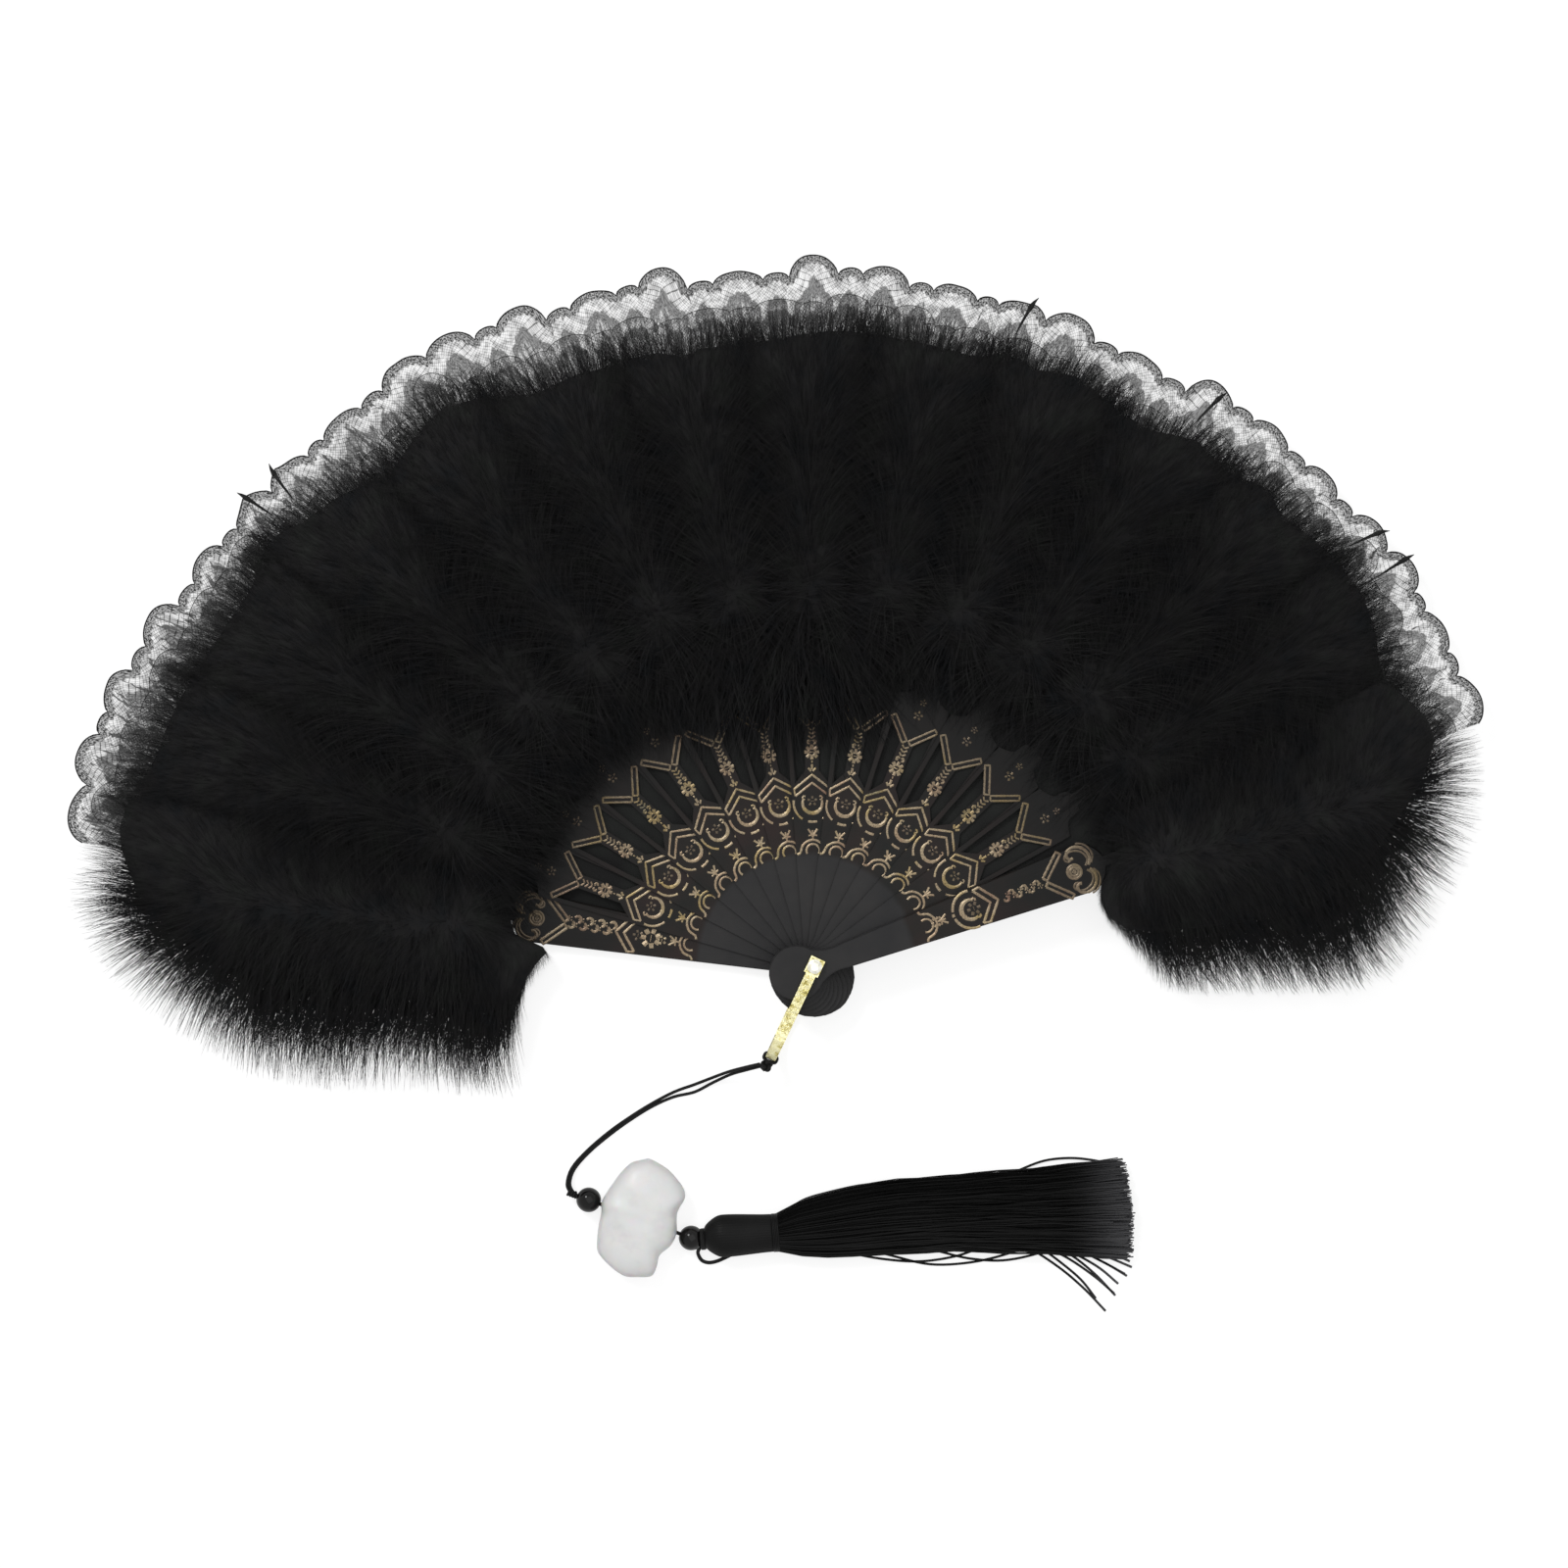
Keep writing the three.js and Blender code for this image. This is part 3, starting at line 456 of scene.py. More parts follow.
# %% Helpers for trees of geometry nodes
class Tree(Nodes):
    """A tree of geometry nodes with named inputs."""

    def __init__(self, name):
        self.group = bpy.data.node_groups.new(name, "GeometryNodeTree")
        super().__init__(self.group)
        for way in ("INPUT", "OUTPUT"):
            self.group.interface.new_socket("Geometry", in_out=way,
                                            socket_type="NodeSocketGeometry")
        self.source = self.nodes.new("NodeGroupInput")
        self.result = self.nodes.new("NodeGroupOutput")

    def ask(self, name, kind, value=None):
        """A named input, and the output of the tree's source that carries it."""
        face = self.group.interface
        socket = face.new_socket(name, in_out="INPUT", socket_type="NodeSocket" + kind)
        if value is not None:
            socket.default_value = value
        return self.source.outputs[name]

    def spread(self, low, high, seed, kind="FLOAT"):
        """A random value between two limits, one for each point."""
        least, most, out = {"FLOAT": (2, 3, 1), "FLOAT_VECTOR": (0, 1, 0)}[kind]
        return self.give("FunctionNodeRandomValue", {least: low, most: high, 8: seed}, out,
                         data_type=kind)

    def named(self, name, kind="FLOAT"):
        return self.give("GeometryNodeInputNamedAttribute", {"Name": name}, "Attribute",
                         data_type=kind)

    def finish(self, geometry, look, settle=None):
        """The last steps of every tree: real geometry, laid down if asked, and its finish."""
        real = self.give("GeometryNodeRealizeInstances", {"Geometry": geometry})
        real = settle(real) if settle else real
        dressed = self.give("GeometryNodeSetMaterial", {"Geometry": real, "Material": look})
        self.links.new(dressed, self.result.inputs[0])


def grow(obj, tree, name, **values):
    """Runs a tree on an object and gives the result as a plain mesh object of that name."""
    modifier = obj.modifiers.new(tree.group.name, "NODES")
    modifier.node_group = tree.group
    for item in tree.group.interface.items_tree:
        key = item.name.replace(" ", "_").lower()
        if item.in_out == "INPUT" and key in values:
            modifier[item.identifier] = values.pop(key)
    if values:
        raise ValueError(f"{tree.group.name} has no input named {sorted(values)}")
    mesh = plain_mesh(obj, name)
    bpy.data.objects.remove(obj)
    return keep(bpy.data.objects.new(name, mesh))


# %% [markdown]
# ## Down
# Each stick carries a strip of marabou down, front and back. One strip is thousands of soft barbs
# that stand out from a hidden quill. It could be particle hair, but hair doesn't become part of
# the model, so each barb is a real thin spike, bent a little and drawn to a point. A dark pad
# fills the middle, and the barbs are set on it along a flow that runs out from the quill: towards
# the rim, back over the sticks, and all round in the two hanging lobes.

# %% Down finish
down = Shader("black_down", Roughness=0.85, Specular_IOR_Level=0.12)
down.put(Base_Color=down.ramp(down.noise(90.0, 3.0, 0.6), [
    (0.3, (0.010, 0.0112, 0.0125)), (0.5, (0.0155, 0.0150, 0.0155)),
    (0.72, (0.0190, 0.0205, 0.0190))]))
down.bump(down.noise(2600.0), 0.4, 0.0002)
print("down finish with", len(down.nodes), "nodes")

# %% The barbs' tree
barbs = Tree("Down barbs")
(density, barb_length, barb_radius, clump_size, clump_pull, scatter, floor_level,
 crown_level) = [barbs.ask(label, "Float", value) for label, value in [
     ("Barbs each square metre", 800000.0), ("Barb length", 0.020), ("Barb radius", 0.00017),
     ("Clump size", 0.006), ("Clump pull", 0.45), ("Scatter", 0.16), ("Lowest level", 0.0004),
     ("Crown level", 0.029)]]
seed, look = barbs.ask("Seed", "Int", 1), barbs.ask("Down finish", "Material")
pad = barbs.source.outputs[0]
spread = barbs.give("GeometryNodeDistributePointsOnFaces",
                    {"Mesh": pad, "Seed": seed,
                     "Density": barbs.times(density, barbs.named("cover"))}, "Points")

# One barb stands along +Z, one metre long: it bends, and its radius shrinks to nothing
line = barbs.give("GeometryNodeCurvePrimitiveLine", {"End": (0, 0, 1)})
line = barbs.give("GeometryNodeResampleCurve", {"Curve": line, "Count": 3})
along = barbs.give("GeometryNodeSplineParameter", out="Factor")
bend = barbs.xyz(barbs.times(0.22, barbs.times(along, along)))
line = barbs.give("GeometryNodeSetPosition", {"Geometry": line, "Offset": bend})
taper = barbs.math("POWER", barbs.minus(1.0, along), 0.6)
thin = barbs.math("MAXIMUM", barbs.times(taper, barb_radius), 0.00002)
ring = barbs.give("GeometryNodeCurvePrimitiveCircle", {"Resolution": 3, "Radius": 1.0})
barb = barbs.give("GeometryNodeCurveToMesh", {"Curve": line, "Profile Curve": ring,
                                              "Scale": barbs.math("DIVIDE", thin, barb_length)})

# The barbs turn along the flow, gathered in clumps, each with a little of its own way
clump = barbs.give("ShaderNodeTexNoise",
                   {"Vector": barbs.give("GeometryNodeInputPosition"), "Detail": 1.0,
                    "Scale": barbs.math("DIVIDE", 1.0, clump_size)}, "Color")
pull = barbs.scale(barbs.vector("SUBTRACT", clump, (0.5, 0.5, 0.5)), clump_pull)
own = barbs.scale(barbs.spread((-1, -1, -1), (1, 1, 1), seed, "FLOAT_VECTOR"), scatter)
way = barbs.vector("ADD", barbs.named("flow", "FLOAT_VECTOR"), pull)
way = barbs.vector("ADD", way, own)
turn = barbs.give("FunctionNodeAlignRotationToVector", {"Vector": way}, axis="Z")
spin = barbs.give("FunctionNodeEulerToRotation", {0: barbs.xyz(z=barbs.spread(0.0, 6.283, seed))})
turn = barbs.give("FunctionNodeRotateRotation", {"Rotation": turn, "Rotate By": spin},
                  rotation_space="LOCAL")
size = barbs.times(barbs.spread(0.55, 1.15, seed), barbs.named("reach"))
placed = barbs.give("GeometryNodeInstanceOnPoints",
                    {"Points": spread, "Instance": barb, "Rotation": turn,
                     "Scale": barbs.times(size, barb_length)})
whole = barbs.add("GeometryNodeJoinGeometry")
for part in (placed, pad):
    barbs.links.new(part, whole.inputs[0])


PRESSED_SHARE = 0.75


def settled(real):
    """A tip that would sink into the table is laid on it, and what stands high is pressed down."""
    tips = barbs.parts(barbs.give("GeometryNodeInputPosition"))
    above = barbs.math("MAXIMUM", barbs.minus(tips["Z"], crown_level), 0.0)
    pressed = barbs.minus(tips["Z"], barbs.times(above, PRESSED_SHARE))
    level = barbs.math("MAXIMUM", pressed, floor_level)
    return barbs.give("GeometryNodeSetPosition",
                      {"Geometry": real, "Position": barbs.xyz(tips["X"], tips["Y"], level)})


barbs.finish(whole.outputs[0], look, settled)
print("barb tree with", len(barbs.nodes), "nodes")

# %% [markdown]
# ## Plume pads
# A pad has the outline of its strip of down, drawn in far enough that the barbs reach the real
# edge. Between two sticks the pads meet, so no light shows through. The two end pads hang past
# their guard in a round lobe.

# %% Outline of each pad
PLUME_START = 98.3
DOWN_RIM = [(12, 189), (14, 194), (16, 202.5), (18, 211), (21, 216), (24, 211.5), (27, 206),
            (30, 211), (34, 215), (40, 213.5), (44, 210.5), (46.5, 214), (50, 208.5), (54, 211),
            (58, 205), (62, 205.5), (66, 210), (70, 206), (72, 208.5), (75, 204.5), (82, 205.5),
            (88, 206.5), (96, 203), (100, 204), (102, 202), (105, 206.5), (108, 205), (112, 207),
            (116, 206.5), (120, 213), (124, 218), (128, 214), (131, 210.5), (135, 216.5),
            (139, 219.5), (142, 224.5), (146, 219.5), (152, 220.8), (158, 223.5), (163, 224),
            (167, 229), (170, 230), (172, 221), (174, 216), (176, 208)]
PAD_INSET, PAD_OVERLAP = 4.2, 0.5


def down_rim(degrees):
    """How far the down reaches at the rim, in mm. It is uneven, and furthest out at both ends."""
    return np.interp(degrees, *np.array(DOWN_RIM, float).T)


LEFT_LOBE = [(98, 2), (96, 6), (91, 7.4), (86.5, 8.6), (85, 10.2), (87.5, 14), (89.8, 19),
             (91, 24), (93, 28.5), (99, 31), (112, 31.5), (128, 32.5), (150, 33.5), (172, 33.8),
             (190, 29.5), (206, 22), (216, 13)]
RIGHT_LOBE = [(98, 2), (96, 5), (94.5, 8), (93, 12), (93.5, 18), (98, 23.5), (106, 27),
              (119, 30.5), (132, 33.5), (146, 36.5), (160, 36.5), (175, 30.5), (189, 20.5),
              (202, 10.5)]


def gap_beside(stick, side):
    """Half the gap to the next stick, in degrees. Side +1 is anticlockwise."""
    other = stick - side
    if not 0 <= other < STICK_COUNT:
        return None
    return abs(stick_degrees[stick] - stick_degrees[other]) / 2


def pad_side(stick, side):
    """One long side of a pad from its inner end to its rim, in mm along and across the stick."""
    half_gap = gap_beside(stick, side)
    if half_gap is None:
        return [(x, side * y) for x, y in (LEFT_LOBE if side > 0 else RIGHT_LOBE)]
    rim = float(down_rim(stick_degrees[stick] + side * half_gap)) - PAD_INSET
    turn = math.radians(half_gap + PAD_OVERLAP)
    reaches = np.linspace(PLUME_START + 4, rim, 9)
    return [(r * math.cos(turn), side * r * math.sin(turn)) for r in reaches]


def pad_outline(stick):
    rim = []
    for share in (-0.7, -0.35, 0, 0.35, 0.7):
        side = 1 if share > 0 else -1
        turn = share * (gap_beside(stick, side) or 0)
        r = float(down_rim(stick_degrees[stick] + turn)) - PAD_INSET
        rim.append((r * math.cos(math.radians(turn)), r * math.sin(math.radians(turn))))
    lower, upper = pad_side(stick, -1), pad_side(stick, 1)
    unique = [p for i, p in enumerate(rim) if i == 0 or p != rim[i - 1]]
    return np.array([(PLUME_START + 4, 0)] + lower + unique + upper[::-1])


# %% Flow and cover of the barbs on a pad
PAD_LEVELS = [(0.10, 3.2), (0.55, 3.4), (0.90, 4.2), (1.0, 7.0), (1.0, 14.0), (0.93, 17.5),
              (0.80, 19.3), (0.55, 20.2), (0.10, 20.5)]
TOP_PAD_LEVELS = PAD_LEVELS[:5] + [(0.985, 19.6), (0.96, 21.4), (0.80, 22.6), (0.55, 23.0),
                                   (0.10, 23.2)]


def quill_of(stick):
    """The hidden quill: the line in the middle of the strip, from which the barbs run out."""
    side = outer_side(stick)
    if gap_beside(stick, side) is None:
        return np.array([116.0, side * 6.0]), np.array([182.0, side * 10.0])
    return np.array([121.0, 0.0]), np.array([176.0, 0.0])


def barb_flow(points, stick):
    """Direction, length share and density share of the barbs at each point of a pad."""
    start, end = quill_of(stick)
    lobe = is_guard(stick)
    flat = points[:, :2]
    share = np.clip(((flat - start) @ (end - start)) / ((end - start) @ (end - start)), 0, 1)
    out = flat - (start + share[:, None] * (end - start))
    distance = np.linalg.norm(out, axis=1)
    outward = out / np.maximum(distance, 8)[:, None]
    side = outer_side(stick)
    hanging = np.clip(side * flat[:, 1] / 16, 0, 1) if lobe else np.zeros(len(points))
    outward[:, 0] += np.where(flat[:, 0] > 116, 0.75, 0.0) * (0.3 if lobe else 1.0)
    near_hand = np.clip((124 - flat[:, 0]) / 16, 0, 1) * hanging
    outward[:, 0] *= 1 - near_hand
    outward[:, 1] += side * 0.6 * near_hand
    rise = np.clip((points[:, 2] - 11) / 9, -1, 1)
    inner = np.clip((112 - flat[:, 0]) / 10, 0, 1)
    lift = np.where(rise > 0, 0.42, 0.22) * rise * (1 - 0.7 * inner)
    flow = np.c_[outward, lift]
    flow /= np.maximum(np.linalg.norm(flow, axis=1), 0.05)[:, None]
    rim = np.clip((flat[:, 0] - 165) / 25, 0, 1)
    middle = math.exp(-((stick_degrees[stick] - 97) / 20) ** 2)
    veil = math.exp(-((stick_degrees[stick] - 92.5) / 8) ** 2)
    by_hand = np.clip((110 - flat[:, 0]) / 12, 0, 1) if lobe else 0
    by_hand = by_hand * np.clip((29 - side * flat[:, 1]) / 7, 0, 1)
    swelling = np.interp(flat[:, 0], [122, 160], [0.1 if stick else 0.22, 0.42]) if lobe else 0
    reach = 1 + swelling * hanging
    reach *= 1 - 0.4 * rim * (1 - 0.5 * hanging)
    reach *= 1 + inner * (0.85 * middle + 0.35 * veil - 0.22) * (1 - hanging)
    reach *= 1 - 0.82 * by_hand
    edge = np.clip(1 - np.abs(points[:, 2] - 10) / 9, 0, 1)
    cover = 0.75 + 2.4 * hanging * edge + 1.6 * by_hand + inner * (0.9 + 1.0 * middle + 5.0 * veil)
    return flow, reach, cover


def plume_bed(stick):
    """The pad of one strip, with the flow of its barbs kept on its points."""
    outline = pad_outline(stick)
    middle = outline.mean(axis=0)
    levels = TOP_PAD_LEVELS if stick == STICK_COUNT - 1 else PAD_LEVELS
    points = np.vstack([np.c_[middle + (outline - middle) * inset, np.full(len(outline), level)]
                        for inset, level in levels])
    flow, reach, cover = barb_flow(points, stick)
    turn = math.radians(stick_degrees[stick])
    spin = np.array([[math.cos(turn), -math.sin(turn), 0], [math.sin(turn), math.cos(turn), 0],
                     [0, 0, 1]])
    bed = mesh_object(f"bed_{stick}", points @ spin.T * MM, skin_faces(len(levels), len(outline)))
    bed.data.attributes.new("flow", "FLOAT_VECTOR", "POINT").data.foreach_set(
        "vector", (flow @ spin.T).ravel())
    mark(bed.data, "reach", reach)
    mark(bed.data, "cover", cover)
    return bed


# %% A plume on every stick
FIRST_SEED, WIDTH_KEPT_FOLDED = 3, 0.35
RIB_BARBS = dict(barb_radius=0.00017, clump_pull=0.45)
LOBE_BARBS = dict(barb_radius=0.00011, clump_pull=0.34)
for index, name in enumerate(stick_names):
    plume = grow(plume_bed(index), barbs, "down_" + name, down_finish=down.material,
                 seed=index + FIRST_SEED, **(LOBE_BARBS if is_guard(index) else RIB_BARBS))
    belongs(plume, stick_bodies[index], "feather", "plume_" + name)
    level = (stick_low[index] + stick_top[index]) / 2
    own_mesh(plume)
    print(plume.name, len(plume.data.polygons), "faces")

# %% [markdown]
# ## Leaf
# Behind the pierced sticks lies a black cloth leaf, glued to their backs and pleated between them.
# It shows dark through the windows. Each gore lies flat under its left stick and climbs to the
# next one only past that stick's edge, so that it cuts through neither.


# %% Helpers for cloth
def cloth(name, grid, finish, **values):
    """A sheet from rows and columns of points, with one number a point kept for each name."""
    sheet = mesh_object(name, grid.reshape(-1, 3), grid_faces(*grid.shape[:2]), finish)
    for key, value in values.items():
        mark(sheet.data, key, value)
    return sheet


def on_fan(reach, degrees, level):
    """A point of the fan from its distance, direction and height, in mm, given in metres."""
    turn = np.radians(degrees)
    reach, turn, level = np.broadcast_arrays(reach, turn, level)
    return np.stack([reach * np.cos(turn), reach * np.sin(turn), level], axis=-1) * MM


def bend_between(piece, gap, reach):
    """Bakes a piece's placing into its points. The stick places it works out at both ends of the
    gap are not used.
    """
    ends = [on_fan(reach, stick_degrees[gap + end], 10.0) for end in (0, 1)]
    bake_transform(piece)


# %% Leaf finish and its thirteen gores
leaf = Shader("black_leaf_cloth", Roughness=0.82, Specular_IOR_Level=0.2)
leaf.put(Base_Color=leaf.ramp(leaf.noise(75.0), [(0.35, grey(0.006)),
                                                 (0.7, (0.013, 0.014, 0.013))]))
leaf.bump(leaf.noise(1800.0, 2.0, 0.4), 0.35, 0.0002)
LEAF_START, LEAF_END, UNDER_STICK = 55.0, 186.0, 0.15
for gap in range(STICK_COUNT - 1):
    share = np.linspace(0, 1, 13)[None, :]
    reach = np.linspace(LEAF_START, LEAF_END, 18)[:, None]
    degrees = stick_degrees[gap] + (stick_degrees[gap + 1] - stick_degrees[gap]) * share
    climb = np.clip((share - 0.55) / 0.45, 0, 1) ** 2
    low, high = [stick_low[gap + end] / MM - UNDER_STICK for end in (0, 1)]
    gore = cloth(f"leaf_{gap + 1:02d}", on_fan(reach, degrees, low + (high - low) * climb), leaf)
    bend_between(gore, gap, LEAF_START)
print("leaf gores from", LEAF_START, "to", LEAF_END, "mm")

# %% [markdown]
# ## Lines from paths
# Foil lines, the lace's outline, the tassel's threads and the knot are all one thing: a small
# section swept along a path. One tree does it. It takes a mesh of bare edges, each point with
# its own half width, and sweeps a section of the asked number of sides, round or pressed flat.

# %% The tree that sweeps paths
sweep = Tree("Swept lines")
sides = sweep.ask("Sides", "Int", 4)
flatness = sweep.ask("Flatness", "Float", 1.0)
sweep_look = sweep.ask("Finish", "Material")
paths = sweep.give("GeometryNodeMeshToCurve", {"Mesh": sweep.source.outputs[0]})
paths = sweep.give("GeometryNodeSetCurveNormal", {"Curve": paths}, mode="Z_UP")
section = sweep.give("GeometryNodeCurvePrimitiveCircle", {"Resolution": sides, "Radius": 1.0})
pressed = sweep.vector("MULTIPLY", sweep.give("GeometryNodeInputPosition"),
                       sweep.xyz(1.0, flatness, 1.0))
section = sweep.give("GeometryNodeSetPosition", {"Geometry": section, "Position": pressed})
swept = sweep.give("GeometryNodeCurveToMesh",
                   {"Curve": paths, "Profile Curve": section,
                    "Scale": sweep.named("half_width"), "Fill Caps": True})
sweep.finish(swept, sweep_look)


def sweep_lines(name, lines, finish, sides=4, flatness=1.0, dull=None):
    """One piece from many lines. A line is its points in metres and its half widths."""
    counts = [len(line[0]) for line in lines]
    edges, start = [], 0
    for count in counts:
        edges += [(i, i + 1) for i in range(start, start + count - 1)]
        start += count
    mesh = bpy.data.meshes.new(name + "_paths")
    mesh.from_pydata([tuple(p) for line in lines for p in line[0]], edges, [])
    mark(mesh, "half_width", np.concatenate([np.broadcast_to(width, count)
                                             for (_, width), count in zip(lines, counts)]))
    if dull is not None:
        mark(mesh, "dull", np.repeat(dull, counts))
    piece = grow(keep(bpy.data.objects.new(name + "_paths", mesh)), sweep, name,
                 sides=sides, flatness=flatness, finish=finish.material)
    piece.data.polygons.foreach_set("use_smooth", [sides > 4] * len(piece.data.polygons))
    return piece


# %% [markdown]
# ## Foil ornament
# The sticks are stamped with thin metal foil: a small arch and a blossom near the hand, a
# crescent in a ring, a roof of double lines, a stem of beads, and a fork that opens towards the
# down. Foil stands a hair above the plastic, so flat lines swept on the face look right and catch
# the light. The guards carry a bolder version that ends in a shell.

# %% Foil finish
foil = Shader("stamped_gold_foil", Metallic=0.6)
colours = foil.ramp(foil.noise(75.0, 2.0, 0.6), [
    (0.30, (0.22, 0.13, 0.09)), (0.42, (0.30, 0.22, 0.14)), (0.52, (0.34, 0.27, 0.175)),
    (0.62, (0.30, 0.22, 0.095)), (0.74, (0.15, 0.14, 0.09))])
speck = foil.noise(2000.0, 2.0, 0.7)
worn = foil.mix(0.8, colours, foil.ramp(speck, [(0.34, grey(0.3)), (0.52, grey(1.0))]),
                "MULTIPLY")
# From 58 mm to 84 mm out the foil is mixed towards dark brown: painted shade under the veil of
# down. Strokes marked dull get the same dark mix, as faint foil.
painted_down_shade = foil.span(foil.from_rivet(), 0.0, 0.6, start=0.058, end=0.084)
faintness_and_painted_shade = foil.math("MAXIMUM", painted_down_shade, foil.named("dull"))
foil.put(Base_Color=foil.mix(faintness_and_painted_shade, worn, (0.055, 0.040, 0.027, 1)),
         Roughness=foil.span(speck, 0.25, 0.55))
foil.bump(speck, 0.3, 0.0001)
print("foil finish with", len(foil.nodes), "nodes")


# %% Strokes of the ornament, in mm along and across a stick
def stroke(points, width=0.26, step=0.7):
    """A line through points, cut into short pieces, with its half width."""
    points = np.array(points, float)
    cuts = [np.zeros((0, 2))]
    for a, b in zip(points[:-1], points[1:]):
        count = max(1, int(np.ceil(np.linalg.norm(b - a) / step)))
        cuts.append(a + (b - a) * (np.arange(count) / count)[:, None])
    return np.vstack(cuts + [points[-1:]]), width


def arc(centre, radius, start, end, width=0.26, swelling=0.0):
    """Part of a circle. Swelling makes its middle wider, as in a crescent."""
    count = max(5, int(abs(end - start) * math.pi / 180 * radius / 0.6))
    turn = np.radians(np.linspace(start, end, count))
    points = np.c_[centre[0] + radius * np.cos(turn), centre[1] + radius * np.sin(turn)]
    return points, width + swelling * np.sin(np.linspace(0, np.pi, count)) ** 0.8


def both_sides(strokes):
    return strokes + [(line * (1, -1), width) for line, width in strokes]


def band(start, end, wide, width=0.24):
    """A hollow band: two lines side by side, closed at its ends."""
    start, end = np.array(start, float), np.array(end, float)
    side = np.array([start[1] - end[1], end[0] - start[0]]) / np.linalg.norm(end - start)
    side *= wide / 2
    return [stroke([start + side, end + side, end - side, start - side, start + side], width)]


def rosette(at, radius, petals=6):
    """A small flower of round petals about a bead."""
    at = np.array(at, float)
    made = [stroke([(at[0] - 0.12, at[1]), (at[0] + 0.12, at[1])], 0.32 * radius)]
    for turn in np.arange(petals) * 2 * math.pi / petals:
        way = np.array([math.cos(turn), math.sin(turn)])
        made.append(stroke([at + way * 0.5 * radius, at + way * radius], 0.22 * radius, 2.0))
    return made


def scroll(at, radius, side, width=0.22):
    """A small C-shaped curl that ends in a bead."""
    return [arc((at[0], side * at[1]), radius, -60 * side, 200 * side, width, 0.1)]


def hand_end():
    """The double arch and the three-leaved sprig nearest to the hand."""
    curled = smooth_route([(35.4, 5.0), (36.0, 4.0), (38.2, 3.3), (39.6, 1.7), (40.1, 0)], 3)
    made = both_sides([stroke(curled, 0.36)]) + [arc((36.6, 0), 2.1, -118, 118, 0.32)]
    made += both_sides([stroke([(41.2, 0.1), (42.2, 0.6), (43.5, 1.5)], 0.32),
                        stroke([(41.5, 0.3), (41.4, 1.4)], 0.26)])
    return made + [stroke([(40.3, 0), (43.1, 0)], 0.28)]


def crescent(bold=1.0, breaks=18):
    """A ring, broken beside the sprig, with a crescent inside it."""
    made = both_sides([arc((51.8, 0), 6.0, 82, 180 - 1.8 * breaks, 0.34 * bold)])
    made += [arc((51.8, 0), 6.05, 180 - 0.75 * breaks, 180 + 0.75 * breaks, 0.38 * bold)]
    made += [arc((51.7, 0), 3.15, 70, 290, 0.30 * bold, 0.30 * bold)]
    return made + both_sides([arc((53.4, 2.6), 0.6, -40, 200, 0.28 * bold)])


def roof(bold=1.0):
    """Two slanted double lines over the ring."""
    lines = [stroke([(foot, -half), (peak, 0), (foot, half)], 0.33 * bold)
             for foot, half, peak in [(56.2, 5.8, 60.8), (54.0, 5.4, 58.2)]]
    return lines + both_sides([stroke([(56.2, 5.8), (54.0, 5.4)], 0.28 * bold)])


def sprig(bold=1.0):
    """The stem of a rib: a bud, a blossom with two curls, and three small chevrons."""
    made = both_sides([stroke([(61.9, 0.3), (62.9, 1.2)], 0.34 * bold)])
    made += [stroke([(62.5, 0), (64.1, 0)], 0.36 * bold),
             stroke([(64.9, -0.2), (64.9, 0.2)], 0.36)]
    made += rosette((68.0, 0.0), 2.35 * bold, 8) + [arc((68.0, 0), 1.1, 0, 360, 0.25)]
    made += scroll((71.2, 0.75), 0.55, 1, 0.28) + scroll((71.2, 0.75), 0.55, -1, 0.28)
    return made + both_sides([stroke([(at, 0.1), (at + 0.8, 1.1)], 0.27 * bold)
                              for at in (72.4, 73.7, 75.0)])


def fork(bold=1.0):
    return both_sides(band((76.9, 0.85), (83.6, 7.3), 1.6, 0.32 * bold))


rib_strokes = hand_end() + crescent() + roof() + sprig() + fork()
rib_dull = rosette((52.4, 0.0), 1.6, 5) + rosette((86.2, 0.0), 1.5, 5)
rib_dull += rosette((90.6, 0.0), 1.1, 5)
print(len(rib_strokes), "strokes on a rib,", round(sum(
    np.linalg.norm(np.diff(line, axis=0), axis=1).sum() for line, _ in rib_strokes)), "mm long")

# %% Strokes of the two guards
knob = [arc((86.5, 0), radius, 0, 360, 0.44) for radius in (0.5, 1.35, 2.2)]
rim_curl = smooth_route([(87.5, 4.2), (86.5, 4.1), (85.7, 5.2), (86.4, 6.8), (88.6, 7.5),
                         (90.9, 6.6), (92.3, 4.6), (92.5, 2.4), (91.4, 0.6)], 3)
shell = both_sides([stroke(rim_curl, 0.5)])
shell_dull = both_sides([stroke(rim_curl * (1.0, 0.84) + (-0.9, 0.15), 0.34),
                         stroke(rim_curl[12:] * (1.0, 1.06) + (1.1, 0.3), 0.3)])
creeper = []
for i, at in enumerate(np.arange(63.4, 76.0, 2.1)):
    side = 1 if i % 2 else -1
    creeper += scroll((at, 0.7), 0.8, side, 0.32)
    creeper += rosette((at + 0.9, -0.5 * side), 1.0, 5)
right_strokes = (hand_end() + rosette((40.0, 0.0), 1.7, 6) + crescent(1.25, 6)
                 + roof(1.25) + creeper + fork(1.25) + shell + knob)
right_dull = rosette((52.6, 0.0), 2.2, 6) + shell_dull
flower = rosette((49.4, 0.3), 3.2, 7) + rosette((45.8, 0.3), 1.5, 5)
vine = []
for i, at in enumerate(np.arange(62.0, 76.5, 1.9)):
    side = 1 if i % 2 else -1
    vine += [arc((at, -0.8 + 0.9 * side), 1.1, 30 * side, 250 * side, 0.36, 0.12)]
    vine += rosette((at + 0.7, -0.8 - 0.9 * side), 1.0, 5)
left_strokes = hand_end() + flower + roof(1.2) + vine + fork(1.25)
left_dull = rosette((53.6, 0.0), 1.7, 5) + shell + shell_dull + knob
print("left guard", len(left_strokes + left_dull), "strokes, right guard",
      len(right_strokes + right_dull))


